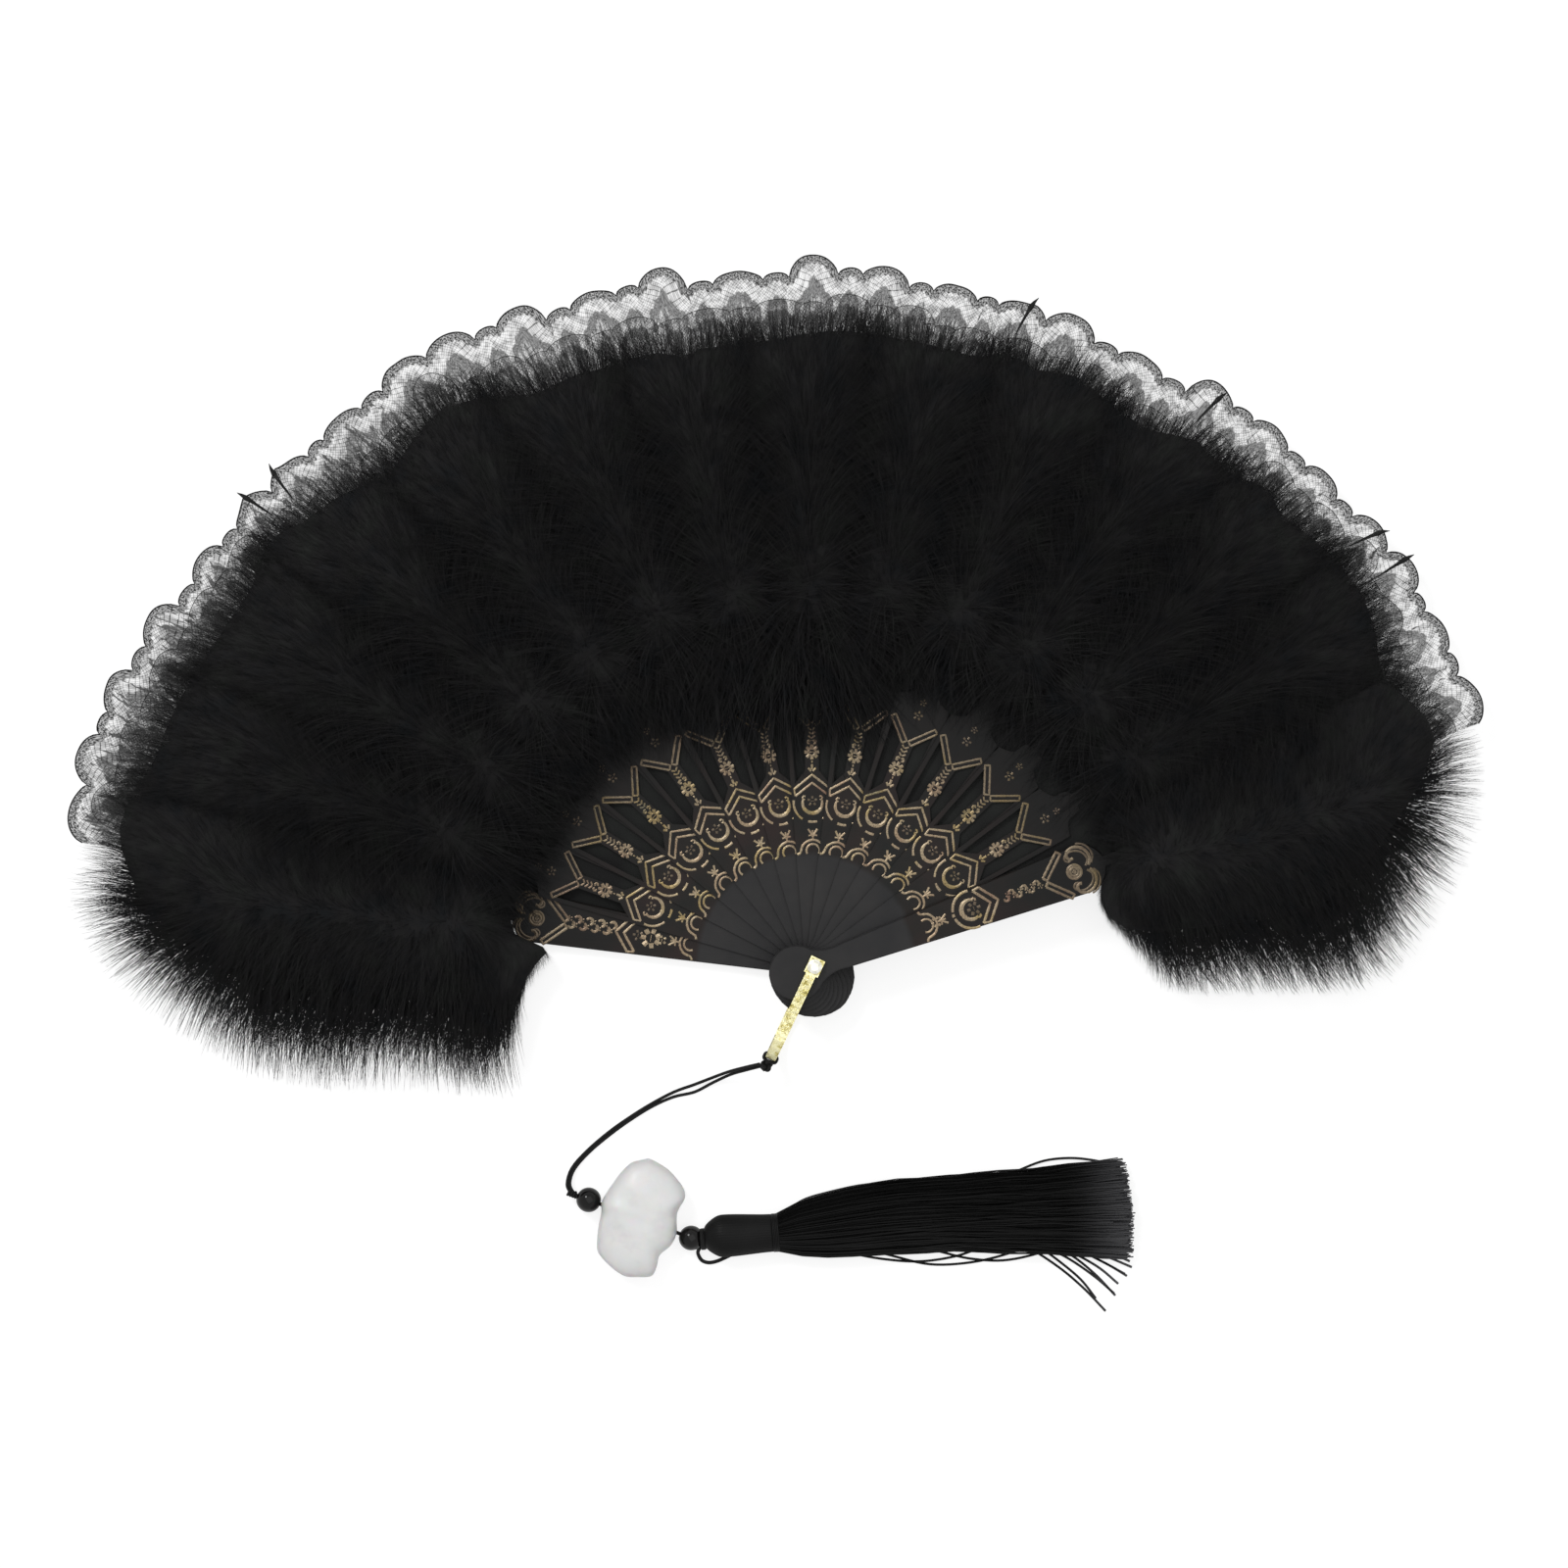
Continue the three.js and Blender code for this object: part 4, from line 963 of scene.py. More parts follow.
# %% Foil on every stick
def stamp_shift(stick):
    """How much further out a stick's ornament stands than on the middle rib, in mm."""
    turn = math.radians(stick_degrees[stick])
    return 3.1 * (1 - math.sin(turn)) - math.cos(turn)


def foil_lines(strokes, stick):
    """The strokes laid on the upper face of a stick, a little uneven as stamped foil is."""
    wobble = np.random.default_rng(stick)
    lines = []
    for line, width in strokes:
        line = line + (stamp_shift(stick), 0)
        reach = np.hypot(line[:, 0], line[:, 1])
        degrees = stick_degrees[stick] + np.degrees(np.arctan2(line[:, 1], line[:, 0]))
        points = on_fan(reach, degrees, stick_top[stick] / MM + FOIL_LIFT)
        uneven = wobble.uniform(0.82, 1.1, len(line))
        lines.append((points, np.broadcast_to(width, len(line)) * uneven * MM))
    return lines


FOIL_LIFT, FAINT = 0.02, 0.8
guard_strokes = {"guard_left": (left_strokes, left_dull),
                 "guard_right": (right_strokes, right_dull)}
for index, name in enumerate(stick_names):
    bright, faint = guard_strokes.get(name, (rib_strokes, rib_dull))
    ornament = sweep_lines("foil_" + name, foil_lines(bright + faint, index), foil,
                           flatness=0.35, dull=[0.0] * len(bright) + [FAINT] * len(faint))
    belongs(ornament, stick_bodies[index], "gold_brass")
    print(ornament.name, len(ornament.data.polygons), "faces")

# %% [markdown]
# ## Lace
# A strip of black lace is gathered and sewn between the front and the back down at the rim. Its
# edge is scalloped, wide scallops and narrow ones in turn, with a dense border band, a corded
# outline, a sheer net and a fan of leaves in each scallop. A second, narrower ruffle lies on the
# first. The gathering shows as pleats that fold over themselves at the seam and relax towards the
# edge. At the left the pleats are tightest, and at six places a corner is folded to a dark point.
# A cloth simulation would lose the scallops' order, so the pleats are drawn as one wave that runs
# on from segment to segment. The holes of the net are in the finish: modelling each would take
# millions of faces.

# %% Lace finish
lace = Shader("scalloped_lace", Roughness=0.75, Specular_IOR_Level=0.15)
edge_gap, lace_u, lace_fold, lace_x, lace_w = [
    lace.named(key) for key in ("edge_gap", "lace_u", "lace_fold", "lace_x", "lace_w")]


def flat_noise(scale, down=1.0, roughness=0.6):
    """Noise on the flat cloth, stretched by a factor along its depth."""
    return lace.noise(scale, 2.0, roughness, lace.xyz(lace_u, lace.times(edge_gap, down)))


def smooth_step(value, low, high):
    """From 0 at one value to 1 at another. Both may be outputs of nodes."""
    return lace.span(value, start=low, end=high, kind="SMOOTHSTEP")


def crossing(sign, cell=1.1, thread=0.065):
    """One family of slanted threads: 1 on a thread and 0 between two."""
    slant = lace.plus(lace_u, lace.times(edge_gap, sign))
    return lace.math("LESS_THAN", lace.math("PINGPONG", lace.math("DIVIDE", slant, cell), 0.5),
                     thread)


mottle = flat_noise(1.4)
net = lace.math("MAXIMUM", crossing(1.0), crossing(-1.0))
blotch = smooth_step(flat_noise(0.42), 0.36, 0.66)
sheer = lace.plus(lace.times(net, 0.6), lace.times(blotch, 0.42))
sheer = lace.plus(sheer, lace.times(lace_fold, 0.26))
loops = lace.times(lace.math("SINE", lace.times(lace_u, 3.6)), 0.3)
border = lace.minus(1.0, smooth_step(lace.plus(edge_gap, loops), 2.4, 3.1))
dots = smooth_step(flat_noise(2.1, roughness=0.4), 0.38, 0.62)
border = lace.times(border, lace.plus(lace.times(dots, 0.5), 0.5))

# A clump of leaves stands in the middle of each scallop, under the net. Its foot thins to streaks
stray = lace.times(flat_noise(0.5), 4.0)
leaves = lace.math("ABSOLUTE", lace.math("SINE", lace.plus(stray, lace.times(lace_x, 1.1))))
from_middle = lace.math("DIVIDE", lace.math("ABSOLUTE", lace_x), lace_w)
top = lace.minus(lace.plus(6.2, lace.times(mottle, 1.2)), lace.times(leaves, 0.8))
top = lace.plus(top, lace.times(lace.math("POWER", from_middle, 3.0), 4.5))
inside = lace.minus(edge_gap, top)
fan = lace.times(smooth_step(inside, 0.0, 0.6), lace.math("LESS_THAN", from_middle, 0.82))
fan = lace.times(fan, lace.plus(lace.times(dots, 0.2), 0.66))
strips = lace.times(smooth_step(flat_noise(0.8, 0.12), 0.46, 0.56),
                    smooth_step(inside, 2.6, 4.6))
fan = lace.times(fan, lace.minus(1.0, lace.times(strips, 0.72)))

# Pleats: dark streaks down the cloth, closer and broader where it is gathered tighter
bent = lace.times(lace.plus(flat_noise(0.22), -0.5), 3.2)
lean = lace.xyz(lace.plus(lace.times(lace_u, 0.62), bent), lace.times(edge_gap, 0.09))
onset = lace.minus(0.62, lace.times(lace_fold, 0.16))
pleats = smooth_step(lace.noise(1.3, 2.0, 0.65, lean), onset, lace.plus(onset, 0.08))
cover = lace.math("MAXIMUM", lace.math("MAXIMUM", sheer, border),
                  lace.math("MAXIMUM", fan, lace.times(pleats, 0.9)), use_clamp=True)
lace.put(Alpha=cover, Base_Color=lace.ramp(mottle, [(0.0, grey(0.012)), (1.0, grey(0.045))]))
print("lace finish with", len(lace.nodes), "nodes")

# %% Scallops along the rim
LACE_START = 184.0
RIM_LENGTH = math.pi / 180 * 222.0
CRESTS = [(17.4, 226.5), (22.2, 229.0), (28.4, 228.0), (33.6, 229.8), (38.0, 228.2),
          (43.6, 226.4), (49.2, 226.0), (55.0, 225.8), (61.4, 220.8), (67.9, 223.2),
          (72.6, 221.6), (78.0, 221.6), (84.0, 224.0), (90.0, 226.6), (96.4, 222.6),
          (102.7, 227.8), (108.4, 226.2),
          (114.6, 230.4), (120.4, 233.0), (124.8, 234.0), (131.3, 232.0), (136.6, 232.6),
          (141.2, 234.0), (146.4, 235.6), (152.5, 239.8), (158.6, 242.8), (163.8, 244.6),
          (168.4, 242.6), (172.6, 240.0)]
HOOKS = [(34.4, 231.9, 34.6), (37.05, 229.9, 38.1), (54.2, 225.2, 54.9), (71.4, 224.7, 72.3),
         (137.4, 236.5, 138.2), (140.7, 237.9, 140.3)]


def scallop_rim(crests, dip, low):
    """Ends, cusps and tops of wide scallops with a narrow one between each two."""
    ends, cusps, tops = [crests[0][0] - 2.0], [crests[0][1] - dip], []
    for (a, top), (b, other) in zip(crests[:-1], crests[1:]):
        cusp = min(top, other) - dip
        narrow = 0.34 if b - a > 5.0 else 0.0
        tops.append(top)
        ends.append(a + (0.5 - narrow / 2) * (b - a))
        cusps.append(cusp)
        if narrow:
            tops.append(cusp + low)
            ends.append(a + (0.5 + narrow / 2) * (b - a))
            cusps.append(cusp)
    return (np.array(ends + [crests[-1][0] + 2.0]), np.array(cusps + [crests[-1][1] - dip]),
            np.array(tops + [crests[-1][1]]))


def edge_at(degrees, rim, hooks):
    """Reach of the scalloped edge in each direction. It climbs in a hollow curve to each hook."""
    ends, cusps, tops = rim
    i = np.clip(np.searchsorted(ends, degrees, side="right") - 1, 0, len(tops) - 1)
    x = 2 * (degrees - ends[i]) / (ends[i + 1] - ends[i]) - 1
    chord = cusps[i] + (cusps[i + 1] - cusps[i]) * (x + 1) / 2
    edge = chord + np.clip(1 - np.abs(x) ** 2.2, 0, 1) ** 0.7 * (tops[i] - chord)
    for at, reach, _ in hooks:
        near = np.clip(1 - np.abs(degrees - at) / 1.5, 0, 1) ** 2
        edge = edge + np.maximum(reach - 2.6 - edge, 0) * near
    return edge


def along_rim(degrees):
    """Length along the rim from the left guard, in mm."""
    return (stick_degrees[0] - np.asarray(degrees, float)) * RIM_LENGTH


def pleat(u):
    """The phase of the gathering wave. Its length drifts, as hand gathering does."""
    return (2 * np.pi * u / 9.5 + 1.3 * np.sin(2 * np.pi * u / 61 + 1)
            + 0.9 * np.sin(2 * np.pi * u / 37 + 2))


def tightness(degrees):
    """How tightly the lace is gathered: most at the left, from 0 to 1."""
    degrees = np.asarray(degrees, float)
    return np.clip((degrees - 112) / 20, 0, 1) * 0.95 + 0.3 * np.clip((62 - degrees) / 20, 0, 1)


def lace_points(degrees, share, edge, tier):
    """Points of a tier from their directions, shares of depth and the reach of the edge."""
    u = along_rim(degrees)
    wave = pleat(u + tier["shift"])
    gather = np.clip(1 - share / 0.6, 0, 1) ** 1.3 + 0.25 * tightness(degrees) * (1 - share)
    reach = tier["start"] + (edge - tier["start"]) * share
    sway = 1.45 * gather * np.sin(2 * wave)
    ruffle = (0.7 + 1.5 * np.sin(np.pi * np.clip(share, 0, 1) ** 0.8)) * np.sin(wave)
    ruffle = ruffle + share ** 2 * (1.7 * np.sin(2 * np.pi * u / 23 + tier["shift"]))
    return on_fan(reach, degrees + np.degrees(sway / reach), tier["level"] + ruffle)


LACE_TIERS = {
    "lower": dict(start=188.0, level=9.6, shift=0.0, hem=0.0, cord=0.24, hooks=HOOKS,
                  rim=scallop_rim(CRESTS, 3.3, 1.9)),
    "upper": dict(start=186.0, level=14.0, shift=4.0, hem=3.3, cord=0.11, hooks=[],
                  rim=scallop_rim([(at + 3.1, float(down_rim(at + 3.1)) + 5.5 + 3.0 * math.sin(at))
                                   for at, _ in [(13.0, 0)] + CRESTS[:-1]], 2.2, 0.8))}
print(len(CRESTS), "wide scallops and", len(HOOKS), "folded corners on the lower tier")


# %% Segments of lace between the sticks
def lace_directions(gap, ends):
    """Directions of the columns from one stick to the next, with one at every cusp."""
    a, b = stick_degrees[gap], stick_degrees[gap + 1]
    marks = [a] + sorted((end for end in ends if b + 0.05 < end < a - 0.05), reverse=True) + [b]
    columns = [a]
    for start, end in zip(marks[:-1], marks[1:]):
        count = max(2, int(round((start - end) * RIM_LENGTH / 0.8)))
        columns += list(np.linspace(start, end, count + 1)[1:])
    return np.array(columns)


def hook_line(hook, tier):
    """The dark fold behind a pointed corner, thick just behind its tip."""
    at, reach, foot = hook
    share = np.linspace(0, 1, 9)
    edge = edge_at(np.array([at]), tier["rim"], tier["hooks"])[0]
    lift = lace_points(np.array([at]), 1.0, edge, tier)[0, 2] / MM + 0.3
    points = on_fan(reach - 13.5 * share, at + (foot - at) * share ** 0.7, lift)
    widths = np.interp(share, [0, 0.14, 0.26, 0.42, 0.8, 1], [0.08, 0.6, 1.0, 0.55, 0.4, 0.15])
    return points, widths * MM


ROWS = 20
for tier_name, tier in LACE_TIERS.items():
    ends, _, tops = tier["rim"]
    for gap in range(STICK_COUNT - 1):
        degrees = lace_directions(gap, ends)
        share = (np.arange(ROWS + 1) / ROWS)[:, None]
        edge = edge_at(degrees, tier["rim"], tier["hooks"])
        grid = lace_points(degrees[None, :], share, edge[None, :], tier)
        u = np.broadcast_to(along_rim(degrees), grid.shape[:2])
        reach = tier["start"] + (edge - tier["start"])[None, :] * share
        near = np.arange(degrees[-1] - 4, degrees[0] + 4, 0.08)
        far = np.hypot(u[..., None] - along_rim(near),
                       reach[..., None] - edge_at(near, tier["rim"], tier["hooks"]))
        depth = far.min(axis=-1)
        tight = tightness(degrees)[None, :]
        fold = np.clip((depth - 9.5 + 7.5 * tight) / 5.0, 0, 1) * (0.7 + 0.3 * tight)
        piece = cloth(f"lace_{tier_name}_{gap + 1:02d}", grid, lace, edge_gap=depth + tier["hem"],
                      lace_u=u, lace_fold=fold)
        middle = (degrees[:-1] + degrees[1:]) / 2
        scallop = np.clip(np.searchsorted(ends, middle) - 1, 0, len(tops) - 1)
        half = (ends[scallop + 1] - ends[scallop]) / 2 * RIM_LENGTH
        centre = along_rim((ends[scallop + 1] + ends[scallop]) / 2)
        left, right = along_rim(degrees[:-1]) - centre, along_rim(degrees[1:]) - centre
        corners = np.tile(np.stack([left, right, right, left], axis=1), (ROWS, 1, 1)).ravel()
        mark(piece.data, "lace_x", corners, "CORNER")
        mark(piece.data, "lace_w", np.tile(np.repeat(half, 4), ROWS), "CORNER")
        lines = [(grid[-1], tier["cord"] * MM)]
        lines += [hook_line(hook, tier) for hook in tier["hooks"]
                  if degrees[-1] <= hook[0] < degrees[0]]
        cord = sweep_lines(f"lace_edge_{tier_name}_{gap + 1:02d}", lines, cord_finish, sides=5)
        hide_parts(f"lace_{gap + 1:02d}")
        for part in (piece, cord):
            bend_between(part, gap, LACE_START)

# %% [markdown]
# ## Shackle, rivet and knot
# The shackle is a strap of bright brass, bent round the heads of the sticks and pressed with a
# raised pattern. Its solid already has the form, so it gets a finish and the finer raised lines.
# The cord is wound three times round the shackle's bend and tied in a small round knot.

# %% Brass finish
brass = Shader("yellow_brass", Metallic=0.85)
rub = brass.noise(420.0, 3.0, 0.65)
pits = brass.give("ShaderNodeTexVoronoi", {"Scale": 1100.0, "Vector": brass.place()}, "Distance")
brass.put(Roughness=brass.span(rub, 0.2, 0.5), Base_Color=brass.ramp(rub, [
    (0.34, (0.30, 0.25, 0.06)), (0.42, (0.62, 0.55, 0.22)), (0.54, (0.88, 0.84, 0.54)),
    (0.70, (0.66, 0.58, 0.24))]))
brass.bump(pits, 0.5, 0.0003)
brass.on("shackle")

pale = Shader("pale_rivet_metal", Metallic=0.75)
wear = pale.noise(700.0, 2.0, 0.6)
pale.put(Roughness=pale.span(wear, 0.25, 0.45),
         Base_Color=pale.ramp(wear, [(0.35, (0.70, 0.68, 0.56)), (0.6, (0.93, 0.92, 0.84))]))
pale.on("rivet", "rivet_cap")
print("the shackle and the rivet have their metal")


# %% Raised lines of the shackle, and the knot
def laid(points, degrees, origin=(0.0, 0.0)):
    """Points given along, across and up, in mm, laid out in one direction, in metres."""
    points, turn = np.asarray(points, float), math.radians(degrees)
    x = origin[0] + points[:, 0] * math.cos(turn) - points[:, 1] * math.sin(turn)
    y = origin[1] + points[:, 0] * math.sin(turn) + points[:, 1] * math.cos(turn)
    return np.c_[x, y, points[:, 2]] * MM


def coil(rounds, steps, start, run, middle, radii):
    """Cord wound about a line: along, across and up, in mm."""
    turns = np.linspace(0, rounds * 2 * np.pi, steps)
    return np.c_[start + run * turns / turns[-1], middle[0] + radii[0] * np.cos(turns),
                 middle[1] + radii[1] * np.sin(turns)]


SHACKLE_DEGREES, STRAP_FACE, BEND_REACH, KNOT_REACH = 244.6, 22.12, 32.6, 35.2
along = np.linspace(3.2, 23.2, 90)
flat = np.full(len(along), STRAP_FACE)
raised = [(np.c_[along, np.full(len(along), side * 1.5), flat], 0.2) for side in (-1, 1)]
raised += [(np.c_[along, side * 0.62 * np.sin(along * 2 * np.pi / 4.4), flat], 0.18)
           for side in (-1, 1)]
square = np.array([(-2.2, -1.85), (2.2, -1.85), (2.2, 1.85), (-2.2, 1.85), (-2.2, -1.85)])
raised.append((np.c_[square, np.full(5, 21.85)], 0.22))
trim = sweep_lines("shackle_raised_lines",
                   [(laid(line, SHACKLE_DEGREES), width * MM) for line, width in raised], brass,
                   sides=6, flatness=0.8)
belongs(trim, "bail", "gold_brass")

KNOT_LEVEL = 11.55
turns = np.linspace(0, 3 * 2 * np.pi, 73)
winding = np.c_[BEND_REACH + 1.2 * np.sign(np.cos(turns)) * np.abs(np.cos(turns)) ** 0.6,
                2.15 * np.sign(np.sin(turns)) * np.abs(np.sin(turns)) ** 0.6,
                KNOT_LEVEL - 1.2 + 2.4 * turns / turns[-1]]
turns = np.linspace(0, 2 * np.pi, 49)
tied = np.c_[KNOT_REACH + 0.52 * (np.sin(turns) + 2 * np.sin(2 * turns)),
             0.52 * (np.cos(turns) - 2 * np.cos(2 * turns)),
             KNOT_LEVEL - 0.9 * np.sin(3 * turns)]
lines = [(laid(winding, SHACKLE_DEGREES), 0.5 * MM), (laid(tied, SHACKLE_DEGREES), 0.62 * MM)]
knot = sweep_lines("knot_on_shackle", lines, cord_finish, sides=8)
belongs(knot, "bail", "black_cord", "cord_knot")

# The strands' ends start where the tassel turns, so they stay on the knot however it swings.
TURNING_REACH = 37.0
turning_place = laid([(TURNING_REACH, 0.0, KNOT_LEVEL - 0.2)], SHACKLE_DEGREES)[0]
tails = sweep_lines("knot_tails", [(np.linspace(turning_place, np.array(route[0]) * MM, 4),
                                    0.5 * MM) for route in (STRAND_A, STRAND_B)], cord_finish,
                    sides=8)
belongs(tails, "tassel_cord", "black_cord")
print("shackle lines", len(trim.data.polygons), "faces, knot", len(knot.data.polygons), "faces,",
      "tails", len(tails.data.polygons), "faces")

# %% [markdown]
# ## Beads and pendant
# Two round black beads with a glassy gloss hold a carved pendant of milky stone between them. A
# bead is a turned ring with a round hole. The pendant is a thick cushion with a wavy outline and
# soft carved hollows; light enters it, so its edges look paler than its middle.

# %% Glossy beads
gloss = Shader("glossy_black_bead", Roughness=0.06, Specular_IOR_Level=0.22)
gloss.put(Base_Color=gloss.ramp(gloss.noise(320.0), [(0.3, grey(0.002)),
                                                     (0.7, (0.007, 0.006, 0.006))]))
BEAD_RADIUS, BEAD_HOLE = 4.0, 0.9
side_way, up = np.cross(chain, (0, 0, 1)), np.array([0, 0, 1.0])


def bead(name, centre, node):
    start = math.asin(BEAD_HOLE / BEAD_RADIUS)
    turn = np.linspace(start, math.pi - start, 29)
    profile = np.c_[-BEAD_RADIUS * np.cos(turn), BEAD_RADIUS * np.sin(turn)] * MM
    around = np.linspace(0, 2 * np.pi, 48, endpoint=False)
    points = [centre + chain * a + side_way * r * math.cos(t) + up * r * math.sin(t)
              for t in around for a, r in profile]
    faces = grid_faces(len(around), len(profile), True, True, turned=True)
    return belongs(mesh_object(name, points, faces, gloss), "tassel_cord", "black_bead", node)


beads = [bead("upper_bead", BEAD_UPPER, "bead_upper"),
         bead("lower_bead", BEAD_LOWER, "bead_lower")]
ends_knot = [BEAD_UPPER + MM * (chain * a + side_way * b + up * c)
             for a, b, c in coil(3, 73, -6.9, 2.6, (0.0, 0.0), (0.8, 0.8))]
stub = np.linspace(BEAD_UPPER - chain * 7.2 * MM, BEAD_UPPER - chain * 3.9 * MM, 4)
stop_knot = sweep_lines("knot_at_upper_bead",
                        [(np.array(ends_knot), 0.46 * MM), (stub, 0.6 * MM)], cord_finish, sides=8)
belongs(stop_knot, "tassel_cord", "black_cord")
print("beads of", len(beads[0].data.polygons), "faces")

# %% Milky pendant
milk = Shader("milky_carved_stone", Roughness=0.34, Specular_IOR_Level=0.5,
              Subsurface_Weight=0.3, Subsurface_Scale=0.004, Transmission_Weight=0.26)
milk_tone = milk.ramp(milk.noise(110.0, 4.0, 0.6), [
    (0.3, (0.86, 0.85, 0.86)), (0.48, (0.95, 0.95, 0.94)), (0.7, (0.99, 0.99, 0.98))])
bores = [milk.vector("DISTANCE", milk.place(), [value * MM for value in end], "Value")
         for end in ((-66.4, -78.0, 6.5), (-47.2, -84.9, 6.5))]
shade = milk.span(milk.math("MINIMUM", *bores), 0.66, 1.0, start=0.0012, end=0.0048,
                  kind="SMOOTHSTEP")
milk.put(Base_Color=milk.scale(milk_tone, shade))
milk.bump(milk.noise(500.0), 0.15, 0.0005)
PENDANT_OUTLINE = [
    (-53.1, -61.8), (-47.3, -64.9), (-44.1, -68.1), (-41.7, -71.6), (-41.4, -74.7), (-43.8, -79.4),
    (-44.0, -85.6), (-45.9, -89.7), (-49.4, -92.8), (-50.3, -96.3), (-52.0, -99.4), (-56.6, -99.8),
    (-60.8, -99.4), (-65.3, -96.3), (-69.1, -91.9), (-69.4, -87.5), (-68.9, -83.0), (-68.1, -79.1),
    (-67.8, -75.3), (-64.5, -70.0), (-60.9, -65.3), (-57.2, -62.5),
]
PENDANT_HALF = 6.5
ring = np.array(PENDANT_OUTLINE)
closed = smooth_route(np.vstack([ring[-1], ring, ring[0]]), 5)[5:-6, :]
middle = np.array([-56.0, -80.6])
sizes = np.concatenate([np.linspace(0.06, 0.9, 12), [0.94, 0.97, 0.99, 1.0]])
rows = []
for side in (1, -1):
    for s in sizes if side > 0 else sizes[::-1][1:]:
        place = (closed - middle) * s
        carve = 0.26 * np.sin(0.40 * place[:, 0] + 0.9) * np.cos(0.27 * place[:, 1] - 0.4)
        carve += 0.18 * np.sin(0.55 * place[:, 1] + 0.35 * place[:, 0])
        height = PENDANT_HALF * math.sqrt(max(1 - s ** 3.0, 0)) - (0.9 + carve) * (1 - s ** 4)
        level = PENDANT_HALF + side * np.maximum(height * (s < 1), 0)
        rows.append(np.c_[middle + place, np.broadcast_to(level, len(closed))])
stone = mesh_object("carved_pendant", np.vstack(rows) * MM,
                    skin_faces(len(rows), len(closed), turned=True))
PENDANT_BORE = 0.85
drill = cord_curve("drill", np.linspace(BEAD_UPPER, BEAD_LOWER, 3), 2 * PENDANT_BORE * MM)
drill_solid = keep(bpy.data.objects.new("drill_solid", plain_mesh(drill, "drill_solid")))
cut = stone.modifiers.new("bore", "BOOLEAN")
cut.operation, cut.object = "DIFFERENCE", drill_solid
bored = plain_mesh(stone, "carved_pendant")
for helper in (stone, drill, drill_solid):
    bpy.data.objects.remove(helper)
bored.materials.clear()
bored.materials.append(milk.material)
pendant = belongs(keep(bpy.data.objects.new("carved_pendant", bored)), "tassel_cord",
                  "white_pendant", "pendant")
print("pendant", len(bored.polygons), "faces")

# %% [markdown]
# ## Tassel
# Silky black threads are folded over the cord, wound into a smooth head, bound, and left loose
# as a long skirt. The skirt is made of the threads themselves: each runs on its own line from the
# binding to the ragged end, and a few have strayed onto the table.

# %% Silk finish and the tassel's head
silk = Shader("black_silk_thread", Roughness=0.42, Specular_IOR_Level=0.09)
silk_tone = silk.ramp(silk.noise(60.0), [(0.3, grey(0.005)), (0.7, grey(0.009))])
# Towards the skirt's ragged end the threads turn light grey: painted sheen, and the white table
# that shows between the sparse ends painted onto the threads.
painted_end_sheen = silk.span(silk.parts(silk.place())["X"], start=0.079, end=0.106, kind="SMOOTHSTEP")
silk.put(Base_Color=silk.mix(silk.math("POWER", painted_end_sheen, 1.3), silk_tone, (0.10, 0.10, 0.105, 1)))
silk.bump(silk.noise(1300.0), 0.3, 0.0002)
TASSEL_PLACE, TASSEL_DEGREES, HEAD_LEVEL = (-34.6, -87.0), 3.5, 5.9
HEAD_PROFILE = [(-0.7, 0.22), (-0.4, 0.46), (0.5, 0.64), (2.2, 0.84), (4.2, 0.99), (6.5, 1.02),
                (10.0, 1.0), (14.0, 0.96), (18.0, 0.92), (21.6, 0.90)]
stations = smooth_route(HEAD_PROFILE, 3)
around = np.linspace(0, 2 * np.pi, 144, endpoint=False)
ridge = 1 + 0.014 * np.cos(48 * around)
rows = [np.c_[np.full(len(around), at), 6.6 * share * ridge * np.cos(around),
              HEAD_LEVEL + 5.4 * share * ridge * np.sin(around)] for at, share in stations]
head = mesh_object("tassel_head_wound", laid(np.vstack(rows), TASSEL_DEGREES, TASSEL_PLACE),
                   skin_faces(len(rows), len(around)), silk)
belongs(head, "tassel_cord", "tassel_thread", "tassel_head")


def wound(name, line, half_width, finish, slot, *replaced):
    """A wound cord or thread on the tassel."""
    line = laid(line, TASSEL_DEGREES, TASSEL_PLACE)
    belongs(sweep_lines(name, [(line, half_width * MM)], finish, sides=6), "tassel_cord", slot,
            *replaced)


wound("tassel_binding_coil", coil(4, 4 * 40 + 1, 21.4, 2.0, (0.0, HEAD_LEVEL), (5.9, 4.9)), 0.34,
      silk, "tassel_thread", "tassel_binding")
wound("tassel_collar", coil(3, 97, -1.5, 1.0, (-0.8, 4.0), (2.9, 2.9)), 0.62, cord_finish,
      "black_cord")
print("head", len(head.data.polygons), "faces")

# %% Skirt of threads
SKIRT_TOP = [(21.0, 5.5), (23.6, 6.3), (25.5, 7.6), (29.5, 9.3), (43.2, 12.6), (58.9, 14.5),
             (84.1, 14.8), (105.0, 15.0), (134.2, 16.8), (139.0, 17.0)]
SKIRT_BOTTOM = [(21.0, -5.5), (23.6, -6.3), (25.2, -7.4), (41.8, -9.4), (71.0, -9.4),
                (76.4, -9.3), (106.9, -12.0), (135.5, -15.6), (139.0, -15.9)]
SKIRT_HEIGHT = [(21.0, 10.6), (29.5, 10.4), (60.0, 9.0), (105.0, 8.2), (139.0, 7.4)]
SKIRT_START, THREAD_COUNT, LOWEST_THREAD = 22.6, 1250, 0.32


def skirt_at(table, along):
    return np.interp(along, *np.array(table).T)


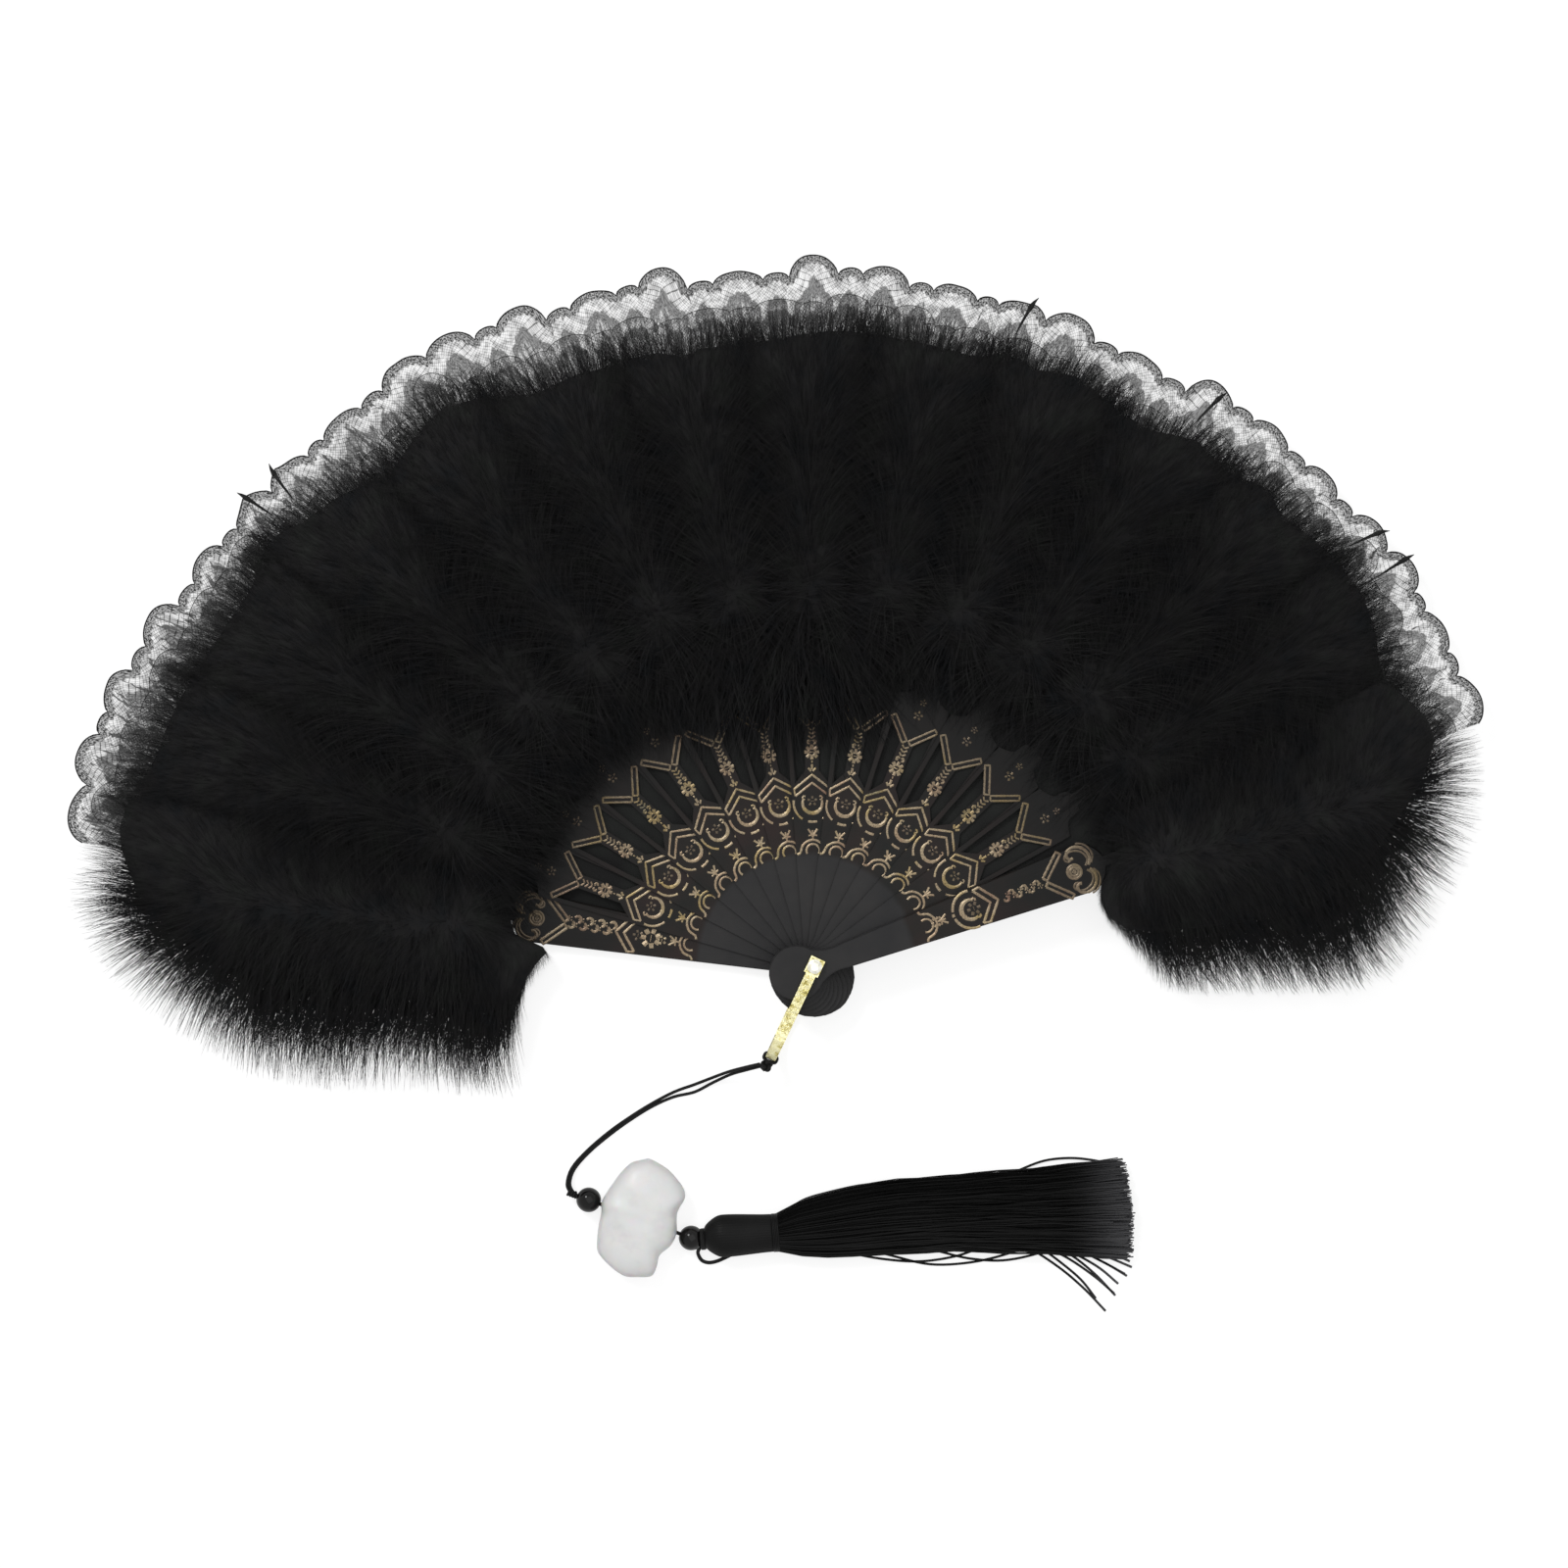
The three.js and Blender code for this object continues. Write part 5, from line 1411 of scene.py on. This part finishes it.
def skirt_threads(count, draw):
    """Each thread keeps its own place in the skirt's section and strays a little."""
    lines = []
    for _ in range(count):
        turn, size = draw.uniform(0, 2 * np.pi), draw.uniform(0, 1) ** 0.45
        end = 134.0 + 3.6 * draw.uniform(0, 1) ** 0.7 - 1.4 * abs(size * math.cos(turn) + 0.1)
        end -= draw.exponential(1.8)
        along = np.linspace(SKIRT_START, max(end, 80), 15)
        top, bottom = skirt_at(SKIRT_TOP, along), skirt_at(SKIRT_BOTTOM, along)
        rise = np.clip((along - SKIRT_START) / 60, 0, 1)
        sway = rise * (0.5 * np.sin(along / draw.uniform(9, 22) + draw.uniform(0, 6.3))
                       + 0.25 * np.sin(along / draw.uniform(4, 7) + draw.uniform(0, 6.3)))
        across = (top + bottom) / 2 + (top - bottom) / 2 * size * math.cos(turn) + sway
        high = skirt_at(SKIRT_HEIGHT, along)
        drop = sway * draw.uniform(-0.6, 0.6)
        level = 0.3 + high / 2 * (1 + size * math.sin(turn)) + drop
        points = np.c_[along, across, np.maximum(level, LOWEST_THREAD)]
        lines.append((laid(points, TASSEL_DEGREES, TASSEL_PLACE), draw.uniform(0.2, 0.27) * MM))
    return lines


threads = sweep_lines("tassel_skirt_threads",
                      skirt_threads(THREAD_COUNT, np.random.default_rng(21)), silk, sides=3)
belongs(threads, "tassel_cord", "tassel_thread", "tassel_skirt")
print("skirt", len(threads.data.polygons), "faces")


# %% Strayed threads
PIXEL, RIVET_PIXEL = 0.3125, (831, 985)


def on_table(points, level=0.5):
    """Points measured in pixels of the picture, given on the table in mm from the rivet."""
    return [((x - RIVET_PIXEL[0]) * PIXEL, (RIVET_PIXEL[1] - y) * PIXEL, level)
            for x, y in points]


STRAYS = [
    [(1020, 1268), (1050, 1276), (1082, 1296), (1108, 1318), (1130, 1341)],
    [(1066, 1272), (1092, 1282), (1118, 1302), (1140, 1325)],
    [(1072, 1270), (1100, 1283), (1124, 1297), (1143, 1313)],
    [(1080, 1268), (1106, 1280), (1132, 1293), (1152, 1305)],
    [(1088, 1266), (1112, 1277), (1136, 1287), (1157, 1296)],
    [(1060, 1274), (1080, 1288), (1104, 1308), (1120, 1328)],
    [(850, 1272), (872, 1282), (905, 1288), (940, 1290), (975, 1285), (1002, 1276)],
    [(880, 1276), (910, 1284), (950, 1293), (992, 1291), (1030, 1282), (1050, 1272)],
    [(960, 1280), (990, 1287), (1025, 1289), (1060, 1282), (1082, 1272)],
    [(805, 1236), (822, 1226), (846, 1219), (878, 1212), (905, 1210), (930, 1212)],
    [(1020, 1206), (1040, 1197), (1066, 1187), (1092, 1184), (1116, 1186), (1144, 1192)],
    [(1030, 1204), (1052, 1198), (1084, 1193), (1112, 1191), (1140, 1196)],
    [(1060, 1272), (1090, 1286), (1118, 1305), (1139, 1323)],
    [(1078, 1262), (1108, 1272), (1134, 1281), (1155, 1290)],
    [(1084, 1270), (1108, 1281), (1130, 1292), (1150, 1303)],
]
strays = sweep_lines("tassel_strayed_threads",
                     [(smooth_route(on_table(route), 6) * MM, 0.4 * MM) for route in STRAYS], silk,
                     sides=6)
belongs(strays, "tassel_cord", "tassel_thread")
print(len(STRAYS), "strayed threads")
